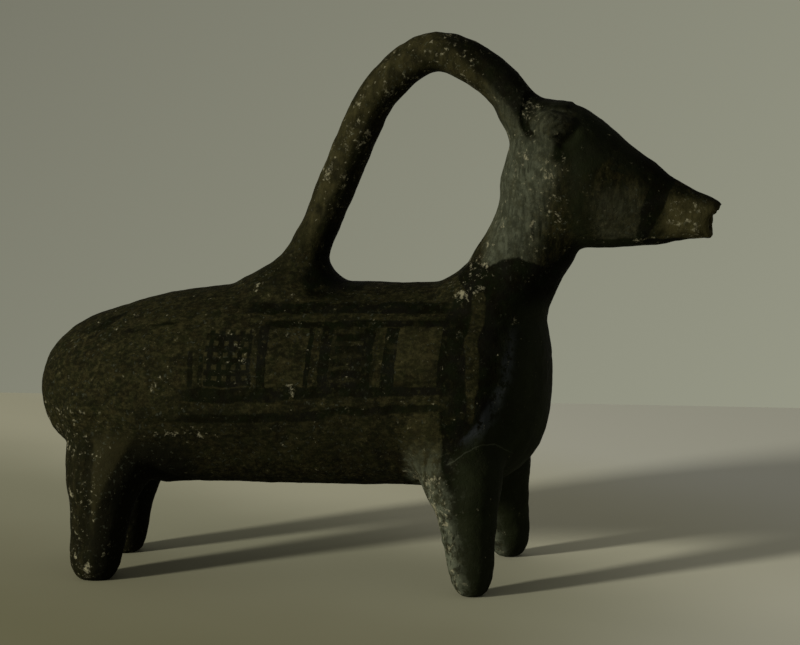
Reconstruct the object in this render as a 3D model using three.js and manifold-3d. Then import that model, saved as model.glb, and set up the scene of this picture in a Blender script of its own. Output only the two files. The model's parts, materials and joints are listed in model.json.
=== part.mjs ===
// A hand-built clay pouring vessel in the shape of a long-snouted animal, in millimetres.
// +X points to the nose, +Z is up, +Y is the animal's left side, and the feet stand on Z = 0.
// The body is a thrown tube closed by two domes. The neck, the head, the legs, the ears and the
// basket handle are separate pieces of clay, and rolls of soft clay are pressed round their joints.
import * as THREE from "three";
import { mergeVertices } from "three/addons/utils/BufferGeometryUtils.js";
import Module from "manifold-3d";

// Clay thickness, and the gap left at every joint
const bodyWall = 5;
const neckWall = 4.5;
const headWall = 4.2;
const clearance = 0.3;

// Body: a tube along X with a long rounded rump and a blunt chest
const bodyHeight = 58.6;
const bodyWidth = 57;
const bodyAxisZ = 55.6;
const tubeRearX = -52.5;
const tubeFrontX = 21.5;
const rumpLength = 47.6;
const rumpHeight = 56;
const rumpSlopeLength = 26;
const rumpSag = 1.6;
const rumpEndDrop = 0.6;
const rumpRoundness = 2.1;
const chestLength = 28.8;
const chestRoundness = 2.5;
const shoulderRoundness = 3.6;
const rumpJointInset = 14;
const chestJointInset = 18;

// Neck: a tube that leans forward from the shoulder into the back of the skull
const neckFootX = 32;
const neckTopX = 52;
const neckRise = 27;
const neckFootRadius = 13.8;
const neckMiddleRadius = 12.7;
const neckTopRadius = 13.4;
const neckHalfWidth = 13.2;
const neckDepthInBody = 17;

// Collar: the roll of clay round the neck's foot
const collarHeight = 7.5;
const collarDepth = 13;
const collarFlare = 3.5;
const collarSideFlare = 5.4;

// Head: a long cone from the nape to the nose, hollow, with a pinched open mouth
const headBackX = 36.6;
const headLength = 63.4;
const jawRise = 10.6;
const skullHeight = 43.4;
const skullWidth = 31;
const muzzleJointShare = 0.72;
const mouthHalfHeight = 3.4;
const mouthHalfWidth = 3.5;
const mouthDepth = 11;
const mouthFunnel = 2.2;
const lipNotchDepth = 3.4;
const lipNotchRise = 6.5;
const upperLipSlope = 1.8;
const lowerLipSlope = 3;

// Ears: worn lumps on the crown
const earLength = 10.5;
const earHeight = 9;
const earStandOut = 2.8;
const earRooting = 1.5;
const earBackOffset = 17.5;
const earRise = 35;

// Basket handle: a roll of clay from the back to the crown, with clay smeared round both ends
const handleThickness = 11.2;
const handleWidth = 12.4;
const handleFootX = -25;
const handleFootDepth = 5;
const handleTopX = 18.5;
const handleRise = 66.3;
const handleEndReach = 12;
const handleEndRise = 38;
const backRootHeight = 16;
const backRootFlare = 6.4;
const backRootSideFlare = 4.6;
const headRootThickness = 0.9;
const headRootFlare = 3.6;

// Legs: solid tapered pegs, pressed against the underside of the body
const frontFootX = 32.6;
const frontFootY = 28;
const frontHipX = 26.4;
const frontHipY = 15;
const frontFootFlat = 3.2;
const frontShank = 6.9;
const frontThigh = 11;
const frontHipInset = 19.5;
const rearRightFootX = -80.3;
const rearLeftFootX = -82.6;
const rearFootY = 19.5;
const rearHipX = -74;
const rearHipY = 12.5;
const rearFootFlat = 4;
const rearRightShank = 8.1;
const rearLeftShank = 7.2;
const rearThigh = 11.6;
const rearHipInset = 17.5;
const footRounding = 1.4;

// Pads: the clay smeared round the top of each leg, up the flank
const padDrop = 1.5;
const padRise = 13;
const padSpread = 3.4;
const padThickness = 1.1;
const padStandOut = 1.5;

// How finely the round shapes are cut
const bodySides = 36;
const tubeSides = 28;
const smallSides = 20;
const handleSteps = 30;
const neckSteps = 8;

const paintedClay = 0x24231a;
const bareClay = 0x3e3c2c;
const clayRoughness = 0.85;

const backZ = bodyAxisZ + bodyHeight / 2;
const bellyZ = bodyAxisZ - bodyHeight / 2;
const jawZ = backZ + jawRise;
const noseX = headBackX + headLength;
const alongX = new THREE.Vector3(1, 0, 0);
const alongY = new THREE.Vector3(0, 1, 0);
const alongZ = new THREE.Vector3(0, 0, 1);
const { lerp } = THREE.MathUtils;

const wasm = await Module();
wasm.setup();

/** A three.js geometry as a solid, with its shared corners merged. */
function solidOf(geometry) {
  geometry.deleteAttribute("normal");
  geometry.deleteAttribute("uv");
  const merged = mergeVertices(geometry, 1e-4);
  const mesh = new wasm.Mesh({
    numProp: 3,
    vertProperties: new Float32Array(merged.getAttribute("position").array),
    triVerts: new Uint32Array(merged.index.array),
  });
  return new wasm.Manifold(mesh);
}

/** A closed solid through a run of oval rings, made larger all round by grow. */
function loft(rings, sides, grow = 0) {
  const last = rings.length - 1;
  const leastRadius = 0.05;
  const points = [];
  rings.forEach((ring, i) => {
    const after = rings[Math.min(i + 1, last)].centre;
    const before = rings[Math.max(i - 1, 0)].centre;
    const forward = new THREE.Vector3().subVectors(after, before).normalize();
    const outward = i === 0 ? -grow : i === last ? grow : 0;
    const centre = ring.centre.clone().addScaledVector(forward, outward);
    for (let k = 0; k < sides; k++) {
      const angle = (2 * Math.PI * k) / sides;
      const point = centre.clone();
      point.addScaledVector(ring.u, Math.cos(angle) * Math.max(ring.a + grow, leastRadius));
      point.addScaledVector(ring.v, Math.sin(angle) * Math.max(ring.b + grow, leastRadius));
      points.push(point);
    }
  });
  for (const i of [0, last]) {
    const middle = new THREE.Vector3();
    points.slice(i * sides, (i + 1) * sides).forEach((point) => middle.add(point));
    points.push(middle.divideScalar(sides));
  }
  const [firstPole, lastPole] = [points.length - 2, points.length - 1];
  const faces = [];
  for (let k = 0; k < sides; k++) {
    const next = (k + 1) % sides;
    faces.push([firstPole, next, k]);
    faces.push([lastPole, last * sides + k, last * sides + next]);
    for (let a = k, b = next; a < last * sides; a += sides, b += sides) {
      faces.push([a, b, b + sides]);
      faces.push([a, b + sides, a + sides]);
    }
  }
  const length = new THREE.Vector3().subVectors(rings[last].centre, rings[0].centre);
  if (new THREE.Vector3().crossVectors(rings[0].u, rings[0].v).dot(length) < 0) {
    faces.forEach((face) => face.reverse());
  }
  const geometry = new THREE.BufferGeometry().setFromPoints(points);
  geometry.setIndex(faces.flat());
  return solidOf(geometry);
}

/** An upright ring across the body or the head: half-width a along Y and half-height b along Z. */
function uprightRing(x, z, a, b) {
  return { centre: new THREE.Vector3(x, 0, z), u: alongY, v: alongZ, a, b };
}

/** A level ring across a leg or a root: half-length a along X and half-width b along Y. */
function levelRing(x, y, z, a, b) {
  return { centre: new THREE.Vector3(x, y, z), u: alongX, v: alongY, a, b };
}

/** Rings square to a curve in the middle plane. sizeAt gives the half-thickness and half-width at a share. */
function ringsAlong(curve, steps, sizeAt) {
  return Array.from({ length: steps + 1 }, (_, i) => {
    const share = i / steps;
    const tangent = curve.getTangentAt(share);
    const across = new THREE.Vector3(-tangent.z, 0, tangent.x);
    const [thick, wide] = sizeAt(share);
    return { centre: curve.getPointAt(share), u: across, v: alongY, a: thick, b: wide };
  });
}

/** A smooth run of values through rows of equal length, read at any first value. */
function smoothTable(rows) {
  const curves = rows[0].slice(1).map((_, column) => {
    const points = rows.map((row) => new THREE.Vector2(row[0], row[column + 1]));
    return new THREE.SplineCurve(points);
  });
  return (key) => {
    const span = Math.max(1, rows.findIndex((row) => row[0] >= key));
    const [start, end] = [rows[span - 1][0], rows[span][0]];
    const share = (span - 1 + (key - start) / (end - start)) / (rows.length - 1);
    return curves.map((curve) => curve.getPoint(share).y);
  };
}

/** A curve in the middle plane through points given by X and Z. */
function middleCurve(points) {
  const places = points.map(([x, z]) => new THREE.Vector3(x, 0, z));
  return new THREE.CatmullRomCurve3(places, false, "centripetal");
}

// Body

const domeSteps = [0, 0.2, 0.38, 0.54, 0.68, 0.79, 0.88, 0.94, 0.98, 0.997];

/** The height of a rounded dome at a share of its length: a roundness of 2 is round, and more is blunter. */
function domeShare(share, roundness) {
  return Math.pow(1 - Math.pow(share, roundness), 1 / roundness);
}

/** An upright ring of the body from its top, its bottom and its half-width. */
function bodyRing(x, top, bottom, halfWidth) {
  return uprightRing(x, (top + bottom) / 2, halfWidth, (top - bottom) / 2);
}

/** The rump sags a little between the tube and its end, and the chest is fuller above than below. */
function bodyRings() {
  const rump = domeSteps.map((share) => {
    const shape = domeShare(share, rumpRoundness);
    const sag = rumpSag * Math.sin(Math.PI * share) + rumpEndDrop * share;
    const axis = bellyZ + rumpHeight / 2 - sag;
    const half = (rumpHeight / 2) * shape;
    return bodyRing(tubeRearX - rumpLength * share, axis + half, axis - half, (bodyWidth / 2) * shape);
  });
  const slope = [0.5, 1].map((share) => {
    const top = backZ - (bodyHeight - rumpHeight) * 0.7 * (1 - share);
    return bodyRing(tubeRearX + rumpSlopeLength * share, top, bellyZ, bodyWidth / 2);
  });
  const chest = domeSteps.map((share) => {
    const shape = domeShare(share, chestRoundness);
    const top = bodyAxisZ + (bodyHeight / 2) * domeShare(share, shoulderRoundness);
    const bottom = bodyAxisZ - (bodyHeight / 2) * shape;
    return bodyRing(tubeFrontX + chestLength * share, top, bottom, (bodyWidth / 2) * shape);
  });
  return [...rump.reverse(), ...slope, ...chest];
}

const bodyForm = (grow = 0) => loft(bodyRings(), bodySides, grow);

// Neck

const neckCurve = middleCurve([
  [neckFootX, backZ - neckDepthInBody],
  [lerp(neckFootX, neckTopX, 0.34), backZ],
  [lerp(neckFootX, neckTopX, 0.57), backZ + 0.3 * neckRise],
  [lerp(neckFootX, neckTopX, 0.8), backZ + 0.63 * neckRise],
  [neckTopX, backZ + neckRise],
]);
const neckSize = smoothTable([
  [0, neckFootRadius, 1.15 * neckHalfWidth],
  [0.36, 0.97 * neckFootRadius, 1.06 * neckHalfWidth],
  [0.66, neckMiddleRadius, neckHalfWidth],
  [1, neckTopRadius, 0.92 * neckHalfWidth],
]);
const neckForm = (grow = 0) => loft(ringsAlong(neckCurve, neckSteps, neckSize), tubeSides, grow);

/** The roll of clay smeared into the angle between the neck and the shoulders. */
function collarForm() {
  const levelRadius = neckMiddleRadius / neckCurve.getTangentAt(0.5).z;
  const rings = [
    // rise above the back, share of the neck's lean, flare along X and flare along Y
    [collarHeight, 0.56, 0.1, 0.13],
    [0.67 * collarHeight, 0.46, 0.16, 0.22],
    [0.32 * collarHeight, 0.335, 0.4, 0.37],
    [0, 0.175, 0.83, 0.63],
    [-0.23 * collarDepth, 0.08, 1, 0.89],
    [-0.62 * collarDepth, 0.08, 0.43, 1],
    [-collarDepth, 0.155, -0.23, 0.74],
  ].map(([rise, lean, flare, sideFlare]) => {
    const halfLength = levelRadius + collarFlare * flare;
    const halfWidth = neckHalfWidth + collarSideFlare * sideFlare;
    return levelRing(lerp(neckFootX, neckTopX, lean), 0, backZ + rise, halfLength, halfWidth);
  });
  return loft(rings, tubeSides);
}

// Head

const headOutline = smoothTable([
  // share of the length, top and jaw as shares of the skull's height, share of the skull's width
  [0.004, 0.45, 0.35, 0.12],
  [0.05, 0.665, 0.2, 0.52],
  [0.12, 0.87, 0.1, 0.78],
  [0.21, 0.985, 0.03, 0.93],
  [0.3, 0.96, 0, 1],
  [0.4, 0.912, 0, 0.98],
  [0.5, 0.805, 0.003, 0.87],
  [0.6, 0.675, 0.006, 0.72],
  [0.7, 0.57, 0.014, 0.58],
  [0.79, 0.46, 0.03, 0.48],
  [0.88, 0.383, 0.05, 0.41],
  [0.96, 0.335, 0.067, 0.37],
  [1, 0.302, 0.1, 0.28],
]);
const headShares = [
  0.004, 0.025, 0.06, 0.12, 0.2, 0.3, 0.39, 0.47, 0.55, 0.63, 0.71, 0.78, 0.84, 0.9, 0.955, 0.985, 1,
];

function headRing(share) {
  const [top, bottom, width] = headOutline(share);
  const middle = jawZ + (skullHeight * (top + bottom)) / 2;
  const halfHeight = (skullHeight * (top - bottom)) / 2;
  return uprightRing(headBackX + headLength * share, middle, (skullWidth / 2) * width, halfHeight);
}

const headForm = (grow = 0) => loft(headShares.map(headRing), tubeSides, grow);

/** The bore through the muzzle: a funnel from the skull's hollow, then a level mouth that opens forward. */
function mouthBore() {
  const throat = headRing(0.62).centre;
  const lips = headRing(0.96).centre;
  const mouthX = noseX - mouthDepth;
  const rings = [
    [throat.x, throat.z - mouthFunnel, mouthFunnel],
    [lerp(throat.x, mouthX, 0.5), lerp(throat.z, lips.z, 0.5) - mouthFunnel / 2, mouthFunnel / 2],
    [mouthX, lips.z, 0],
    [noseX - lipNotchDepth, lips.z, 0],
    [noseX + lipNotchDepth, lips.z, clearance],
  ].map(([x, z, wider]) => uprightRing(x, z, mouthHalfWidth + wider, mouthHalfHeight + wider));
  return loft(rings, smallSides);
}

/** The wedge cut across the front of the muzzle, so that the upper lip reaches past the lower one. */
function lipNotch() {
  const apex = new THREE.Vector2(noseX - lipNotchDepth, jawZ + lipNotchRise);
  const reach = skullHeight / 4;
  const outline = new THREE.Shape([
    apex,
    new THREE.Vector2(apex.x + reach / lowerLipSlope, apex.y - reach),
    new THREE.Vector2(apex.x + 2 * reach, apex.y - reach),
    new THREE.Vector2(apex.x + 2 * reach, apex.y + reach),
    new THREE.Vector2(apex.x + reach / upperLipSlope, apex.y + reach),
  ]);
  const wedge = new THREE.ExtrudeGeometry(outline, { depth: skullWidth, bevelEnabled: false });
  wedge.translate(0, 0, -skullWidth / 2);
  wedge.rotateX(Math.PI / 2);
  return solidOf(wedge);
}

/** The hollow inside: body, neck, head and mouth in one. */
function cavityForm() {
  const headHollow = headShares.filter((share) => share > 0.05 && share < muzzleJointShare).map(headRing);
  return loft(bodyRings().slice(1, -1), tubeSides, -bodyWall)
    .add(loft(ringsAlong(neckCurve, neckSteps, neckSize), smallSides, -neckWall))
    .add(loft(headHollow, smallSides, -headWall))
    .add(mouthBore());
}

/** A worn lump of clay on the side of the crown. */
function earForm(side) {
  const x = headBackX + earBackOffset;
  const z = jawZ + earRise;
  const skull = headRing(earBackOffset / headLength);
  const surfaceY = skull.a * Math.sqrt(1 - Math.pow((z - skull.centre.z) / skull.b, 2));
  const lump = new THREE.SphereGeometry(1, 18, 12);
  lump.scale(earLength / 2, earStandOut + earRooting, earHeight / 2);
  lump.translate(x, side * (surfaceY - earRooting), z);
  return solidOf(lump);
}

// Handle

const handleEndX = headBackX + handleEndReach;
const handleCurve = middleCurve([
  [handleFootX, backZ - handleFootDepth],
  [lerp(handleFootX, handleTopX, 0.21), backZ + 0.24 * handleRise],
  [lerp(handleFootX, handleTopX, 0.44), backZ + 0.59 * handleRise],
  [lerp(handleFootX, handleTopX, 0.66), backZ + 0.85 * handleRise],
  [handleTopX, backZ + handleRise],
  [lerp(handleTopX, handleEndX, 0.485), backZ + lerp(handleRise, handleEndRise, 0.2)],
  [lerp(handleTopX, handleEndX, 0.8), backZ + lerp(handleRise, handleEndRise, 0.56)],
  [handleEndX, backZ + handleEndRise],
]);

function handleForm(grow = 0) {
  const section = new THREE.Shape();
  section.absellipse(0, 0, handleWidth / 2 + grow, handleThickness / 2 + grow, 0, 2 * Math.PI);
  const roll = new THREE.ExtrudeGeometry(section, {
    steps: handleSteps,
    curveSegments: smallSides,
    extrudePath: handleCurve,
    bevelEnabled: false,
  });
  return solidOf(roll);
}

/** The clay smeared round the handle's foot on the back. It spreads further along the body than across it. */
function backRootForm() {
  const lean = (0.21 * (handleTopX - handleFootX)) / (0.24 * handleRise);
  const rings = [
    // share of the root's height, flare along X and flare along Y
    [1, 0.17, 0.15],
    [0.75, 0.12, 0.2],
    [0.55, 0.15, 0.28],
    [0.33, 0.45, 0.52],
    [0.14, 1, 1],
    [0.01, 1.6, 1.52],
    [-0.19, 1.9, 1.96],
    [-0.38, 1.9, 1.96],
  ].map(([share, flare, sideFlare]) => {
    const rise = backRootHeight * share;
    const x = handleFootX + lean * Math.max(rise, 0);
    const halfLength = handleThickness / 2 + backRootFlare * flare;
    const halfWidth = handleWidth / 2 + backRootSideFlare * sideFlare;
    return levelRing(x, 0, backZ + rise, halfLength, halfWidth);
  });
  return loft(rings, tubeSides);
}

/** The clay smeared round the handle's end on the nape and the crown. */
function headRootForm() {
  const halfThickness = handleThickness / 2 + headRootThickness;
  const halfWidth = handleWidth / 2 + headRootThickness;
  const sizes = smoothTable([
    [0, halfThickness, halfWidth],
    [0.5, halfThickness + 0.06 * headRootFlare, halfWidth + 0.3 * headRootFlare],
    [1, halfThickness + 0.2 * headRootFlare, halfWidth + 0.75 * headRootFlare],
  ]);
  const end = new THREE.CatmullRomCurve3([0.88, 0.93, 0.98].map((share) => handleCurve.getPointAt(share)));
  return loft(ringsAlong(end, 5, sizes), smallSides);
}

// Legs

const legShares = [0, 0.026, 0.087, 0.175, 0.33, 0.44, 0.55, 0.66, 0.82, 1];

/** A leg as level rings from the foot to the hip. side is 1 on the left and -1 on the right. */
function legRings(leg, side) {
  const hipZ = bellyZ + leg.hipInset;
  const swell = [0.1, 0.34, 0.66, 0.9, 1, 1].map((share) => lerp(leg.shank, leg.thigh, share));
  const foot = [leg.flat, leg.flat + footRounding, 0.865 * leg.shank, 0.97 * leg.shank];
  const halves = [...foot, ...swell];
  return legShares.map((share, i) => {
    const x = lerp(leg.footX, leg.hipX, Math.pow(share, leg.bend));
    const y = lerp(leg.footY, leg.hipY, Math.pow(share, 1.6));
    const flattening = 1 - 0.15 * Math.pow(share, 2);
    return levelRing(x, side * y, hipZ * share, halves[i], halves[i] * flattening);
  });
}

/** The body's half-width at a height, on the straight tube. */
function flankAt(z) {
  const share = Math.min(1, Math.abs(z - bodyAxisZ) / (bodyHeight / 2));
  return (bodyWidth / 2) * Math.sqrt(1 - share * share);
}

/** The clay smeared round the top of a leg and up the body's flank. */
function padRings(leg, side) {
  const hipZ = bellyZ + leg.hipInset;
  const legAt = smoothTable(
    legRings(leg, 1).map((ring) => [ring.centre.z, ring.centre.x, ring.centre.y, ring.a, ring.b]),
  );
  return [
    // share of the pad's height, spread along X, flattening against the flank, cover of the flank
    [0, 0.15, 0, 0],
    [0.14, 0.35, 0, 0],
    [0.3, 0.6, 0, 0.2],
    [0.45, 0.85, 0, 0.6],
    [0.6, 1, 0.55, 1],
    [0.75, 0.8, 0.36, 0.95],
    [0.89, 0.1, 0.27, 0.6],
    [1, -1.6, 0.23, 0],
  ].map(([share, spread, flattening, cover]) => {
    const z = lerp(bellyZ - padDrop, hipZ + padRise, share);
    const [x, y, a, b] = legAt(Math.min(z, hipZ));
    const half = flattening ? flattening * leg.thigh : b + padThickness;
    const onLeg = z < hipZ ? y + b + padThickness : 0;
    const onFlank = cover ? flankAt(z) * leg.flankShare + padStandOut * cover : 0;
    const outer = Math.max(onLeg, onFlank);
    const wider = padSpread * spread;
    return levelRing(x - leg.padBack * wider, side * (outer - half), z, a + wider, half);
  });
}

const frontLeg = {
  footX: frontFootX,
  footY: frontFootY,
  hipX: frontHipX,
  hipY: frontHipY,
  hipInset: frontHipInset,
  flat: frontFootFlat,
  shank: frontShank,
  thigh: frontThigh,
  bend: 1.7,
  flankShare: 1,
  padBack: 0.6,
};
const rearRightLeg = {
  footX: rearRightFootX,
  footY: rearFootY,
  hipX: rearHipX,
  hipY: rearHipY,
  hipInset: rearHipInset,
  flat: rearFootFlat,
  shank: rearRightShank,
  thigh: rearThigh,
  bend: 1.6,
  flankShare: 0.87,
  padBack: -0.18,
};
const rearLeftLeg = { ...rearRightLeg, footX: rearLeftFootX, shank: rearLeftShank };

// Pieces

/** A group of pieces, each a named mesh in its own clay. A cut's crumbs are left out. */
function groupOf(pieces) {
  const group = new THREE.Group();
  for (const [name, color, solid] of pieces) {
    const [whole] = solid.decompose().sort((p, q) => q.volume() - p.volume());
    const cut = whole.getMesh();
    const positions = new Float32Array(cut.numVert * 3);
    for (let i = 0; i < cut.numVert; i++) {
      positions.set(cut.vertProperties.subarray(i * cut.numProp, i * cut.numProp + 3), i * 3);
    }
    const geometry = new THREE.BufferGeometry();
    geometry.setAttribute("position", new THREE.BufferAttribute(positions, 3));
    geometry.setIndex(new THREE.BufferAttribute(cut.triVerts, 1));
    geometry.computeVertexNormals();
    const material = new THREE.MeshStandardMaterial({ color, roughness: clayRoughness, metalness: 0 });
    const mesh = new THREE.Mesh(geometry, material);
    mesh.name = name;
    group.add(mesh);
  }
  return group;
}

/** The half of space on one side of an upright plane, as a large block. */
function blockBeyond(x, direction) {
  const size = 4 * bodyHeight;
  const block = new THREE.BoxGeometry(size, size, size);
  block.translate(x + (direction * size) / 2, 0, bodyAxisZ);
  return solidOf(block);
}

const cavity = cavityForm();
const bodyRoom = bodyForm(clearance);
const neckRoom = neckForm(clearance);
const headRoom = headForm(clearance);
const handleRoom = handleForm(clearance);
const bodyShell = bodyForm().subtract(cavity);
const headShell = headForm().subtract(cavity);

const rumpJointX = tubeRearX - rumpJointInset;
const chestJointX = tubeFrontX + chestJointInset;
const muzzleJointX = headBackX + muzzleJointShare * headLength;
const barrel = bodyShell
  .subtract(blockBeyond(rumpJointX + clearance / 2, -1))
  .subtract(blockBeyond(chestJointX - clearance / 2, 1));

const body = groupOf([
  ["barrel", paintedClay, barrel],
  ["rump_dome", paintedClay, bodyShell.intersect(blockBeyond(rumpJointX - clearance / 2, -1))],
  ["chest_dome", paintedClay, bodyShell.intersect(blockBeyond(chestJointX + clearance / 2, 1))],
]);

const collar = collarForm().subtract(bodyRoom).subtract(neckRoom).subtract(headRoom);
const skull = headShell.subtract(blockBeyond(muzzleJointX - clearance / 2, 1));
const muzzle = headShell.intersect(blockBeyond(muzzleJointX + clearance / 2, 1)).subtract(lipNotch());
const neckAndHead = groupOf([
  ["neck", bareClay, neckForm().subtract(bodyRoom).subtract(headRoom).subtract(cavity)],
  ["neck_collar", paintedClay, collar],
  ["skull", paintedClay, skull],
  ["muzzle", bareClay, muzzle],
  ["ear_left", paintedClay, earForm(1).subtract(headRoom).subtract(handleRoom)],
  ["ear_right", paintedClay, earForm(-1).subtract(headRoom).subtract(handleRoom)],
]);

const headRoot = headRootForm().subtract(headRoom).subtract(neckRoom).subtract(handleRoom);
const basketHandle = groupOf([
  ["handle", paintedClay, handleForm().subtract(bodyRoom).subtract(headRoom).subtract(neckRoom)],
  ["handle_back_root", paintedClay, backRootForm().subtract(bodyRoom).subtract(handleRoom)],
  ["handle_head_root", paintedClay, headRoot],
]);

/** A leg and the pad round its top. */
function legGroup(place, leg, side) {
  const rings = legRings(leg, side);
  const pad = loft(padRings(leg, side), smallSides);
  return groupOf([
    [`leg_${place}`, bareClay, loft(rings, smallSides).subtract(bodyRoom)],
    [`pad_${place}`, bareClay, pad.subtract(bodyRoom).subtract(loft(rings, smallSides, clearance))],
  ]);
}

const vessel = new THREE.Group();
vessel.name = "animal_vessel";
vessel.add(body, neckAndHead, basketHandle);
vessel.add(legGroup("front_left", frontLeg, 1));
vessel.add(legGroup("front_right", frontLeg, -1));
vessel.add(legGroup("rear_left", rearLeftLeg, 1));
vessel.add(legGroup("rear_right", rearRightLeg, -1));

export default vessel;
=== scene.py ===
"""An animal-shaped clay pouring vessel: hand-built, painted, fired and worn.

All lengths are in metres unless a name ends in _mm. +X points to the nose, +Z is up and +Y is the
animal's left. The paint is worked out in millimetres.
"""

import json
import logging
import math
from dataclasses import dataclass, field
from enum import Enum
from typing import Any, ClassVar

import bmesh
import bpy
import numpy as np
from mathutils import Matrix, Vector, noise
from mathutils.bvhtree import BVHTree
from mathutils.kdtree import KDTree

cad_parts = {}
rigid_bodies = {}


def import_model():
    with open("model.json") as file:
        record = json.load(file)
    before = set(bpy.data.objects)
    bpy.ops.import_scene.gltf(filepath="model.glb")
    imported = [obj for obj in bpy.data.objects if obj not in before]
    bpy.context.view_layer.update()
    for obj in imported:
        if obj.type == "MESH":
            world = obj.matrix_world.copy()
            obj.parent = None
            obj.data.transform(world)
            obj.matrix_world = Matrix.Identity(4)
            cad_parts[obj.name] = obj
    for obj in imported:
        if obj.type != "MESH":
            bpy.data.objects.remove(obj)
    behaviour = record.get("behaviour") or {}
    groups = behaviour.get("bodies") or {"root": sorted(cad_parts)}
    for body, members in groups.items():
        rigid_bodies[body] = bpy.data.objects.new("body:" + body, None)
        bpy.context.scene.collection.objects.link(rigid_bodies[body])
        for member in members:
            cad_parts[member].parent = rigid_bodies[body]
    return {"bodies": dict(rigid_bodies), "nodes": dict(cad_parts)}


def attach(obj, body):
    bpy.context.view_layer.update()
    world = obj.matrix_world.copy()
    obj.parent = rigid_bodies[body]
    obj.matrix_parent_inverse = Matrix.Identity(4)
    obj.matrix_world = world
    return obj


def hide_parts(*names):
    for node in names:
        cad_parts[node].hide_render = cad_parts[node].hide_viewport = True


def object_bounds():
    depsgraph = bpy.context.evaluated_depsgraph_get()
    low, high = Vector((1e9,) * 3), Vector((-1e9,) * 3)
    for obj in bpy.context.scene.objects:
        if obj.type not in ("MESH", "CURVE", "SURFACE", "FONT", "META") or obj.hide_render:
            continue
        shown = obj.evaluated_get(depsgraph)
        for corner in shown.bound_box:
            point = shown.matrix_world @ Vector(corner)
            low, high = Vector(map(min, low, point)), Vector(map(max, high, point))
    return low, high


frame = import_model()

LOG = logging.getLogger("vessel")
MM = 0.001
BODY = "root"
# Fewest corners of a loose island that isn't a crumb
CRUMB = 200
# How close two corners of a CAD node are one corner
WELD = 0.002 * MM
RING_SIDES = 32
CLOSING_ROUNDS = 4


def clear_startup_objects() -> None:
    """Removes what a new Blender file holds besides the frame."""
    kept = set(frame["nodes"].values()) | set(frame["bodies"].values())
    for thing in list(bpy.data.objects):
        if thing not in kept and thing.type in {"MESH", "LIGHT", "CAMERA"}:
            bpy.data.objects.remove(thing)


clear_startup_objects()
CAD_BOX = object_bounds()


# Colour


def linear(colour: str, alpha: float = 1.0) -> tuple[float, float, float, float]:
    """Turns an sRGB hex colour to linear light.

    Args:
        colour: Six hex digits after a hash.
        alpha: Opacity.

    Returns:
        Red, green, blue and alpha.
    """
    shares = [int(colour[place : place + 2], 16) / 255 for place in (1, 3, 5)]
    return (*[s / 12.92 if s <= 0.04045 else ((s + 0.055) / 1.055) ** 2.4 for s in shares], alpha)


# Clay as geometry


def solid_copy(node: str) -> bmesh.types.BMesh:
    """A CAD node's mesh with its loose triangles merged into one closed skin.

    Args:
        node: Name of the CAD node.

    Returns:
        A new bmesh in the shared frame.
    """
    skin = bmesh.new()
    skin.from_mesh(frame["nodes"][node].data)
    bmesh.ops.remove_doubles(skin, verts=skin.verts, dist=WELD)
    return skin


def swell(skin: bmesh.types.BMesh, distance: float) -> None:
    """Moves a skin outwards along its corner normals.

    Args:
        skin: The skin to change.
        distance: How far.
    """
    skin.normal_update()
    moves = [(vert, vert.normal * distance) for vert in skin.verts]
    for vert, move in moves:
        vert.co += move


def oval_tube(rings: list[tuple[float, float, float, float]], lean: float = math.pi / 2) -> bmesh.types.BMesh:
    """A closed tube through oval rings in the middle plane.

    Args:
        rings: X, Z, half-thickness and half-width of each ring, in millimetres.
        lean: Turn of each ring about Y, in radians. A quarter turn stands the rings across X.

    Returns:
        A new closed bmesh.
    """
    tube = bmesh.new()
    hoops = []
    for x, z, thick, wide in rings:
        place = Matrix.Translation((x * MM, 0, z * MM)) @ Matrix.Rotation(lean, 4, "Y")
        place = place @ Matrix.Diagonal((thick * MM, wide * MM, 1, 1))
        made = bmesh.ops.create_circle(tube, segments=RING_SIDES, radius=1.0, matrix=place)
        hoops.append(list({edge for vert in made["verts"] for edge in vert.link_edges}))
    for before, after in zip(hoops, hoops[1:]):
        bmesh.ops.bridge_loops(tube, edges=before + after)
    bmesh.ops.holes_fill(tube, edges=hoops[0] + hoops[-1], sides=0)
    bmesh.ops.recalc_face_normals(tube, faces=tube.faces)
    return tube


def block(low: tuple[float, float, float], high: tuple[float, float, float]) -> bmesh.types.BMesh:
    """A block between two corners.

    Args:
        low: Lowest corner, in millimetres.
        high: Highest corner, in millimetres.

    Returns:
        A new closed bmesh.
    """
    box = bmesh.new()
    bmesh.ops.create_cube(box, size=1.0)
    size = [(b - a) * MM for a, b in zip(low, high)]
    middle = [(a + b) / 2 * MM for a, b in zip(low, high)]
    bmesh.ops.scale(box, vec=size, verts=box.verts)
    bmesh.ops.translate(box, vec=middle, verts=box.verts)
    return box


def make_object(name: str, *skins: bmesh.types.BMesh) -> bpy.types.Object:
    """Puts bmeshes into one linked object at the origin, and frees them.

    Args:
        name: Name of the object and its mesh.
        skins: The bmeshes.

    Returns:
        The new object.
    """
    mesh = bpy.data.meshes.new(name)
    whole = bmesh.new()
    for skin in skins:
        skin.to_mesh(mesh)
        whole.from_mesh(mesh)
        skin.free()
    whole.to_mesh(mesh)
    whole.free()
    thing = bpy.data.objects.new(name, mesh)
    bpy.context.scene.collection.objects.link(thing)
    return thing


def discard(thing: bpy.types.Object) -> None:
    """Removes a working object and its mesh.

    Args:
        thing: The object.
    """
    mesh = thing.data
    bpy.data.objects.remove(thing)
    bpy.data.meshes.remove(mesh)


def settle(thing: bpy.types.Object) -> None:
    """Applies every modifier of an object to its mesh.

    Args:
        thing: The object.
    """
    old = thing.data
    depsgraph = bpy.context.evaluated_depsgraph_get()
    thing.data = bpy.data.meshes.new_from_object(thing.evaluated_get(depsgraph))
    thing.modifiers.clear()
    bpy.data.meshes.remove(old)
    thing.data.name = thing.name


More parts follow.
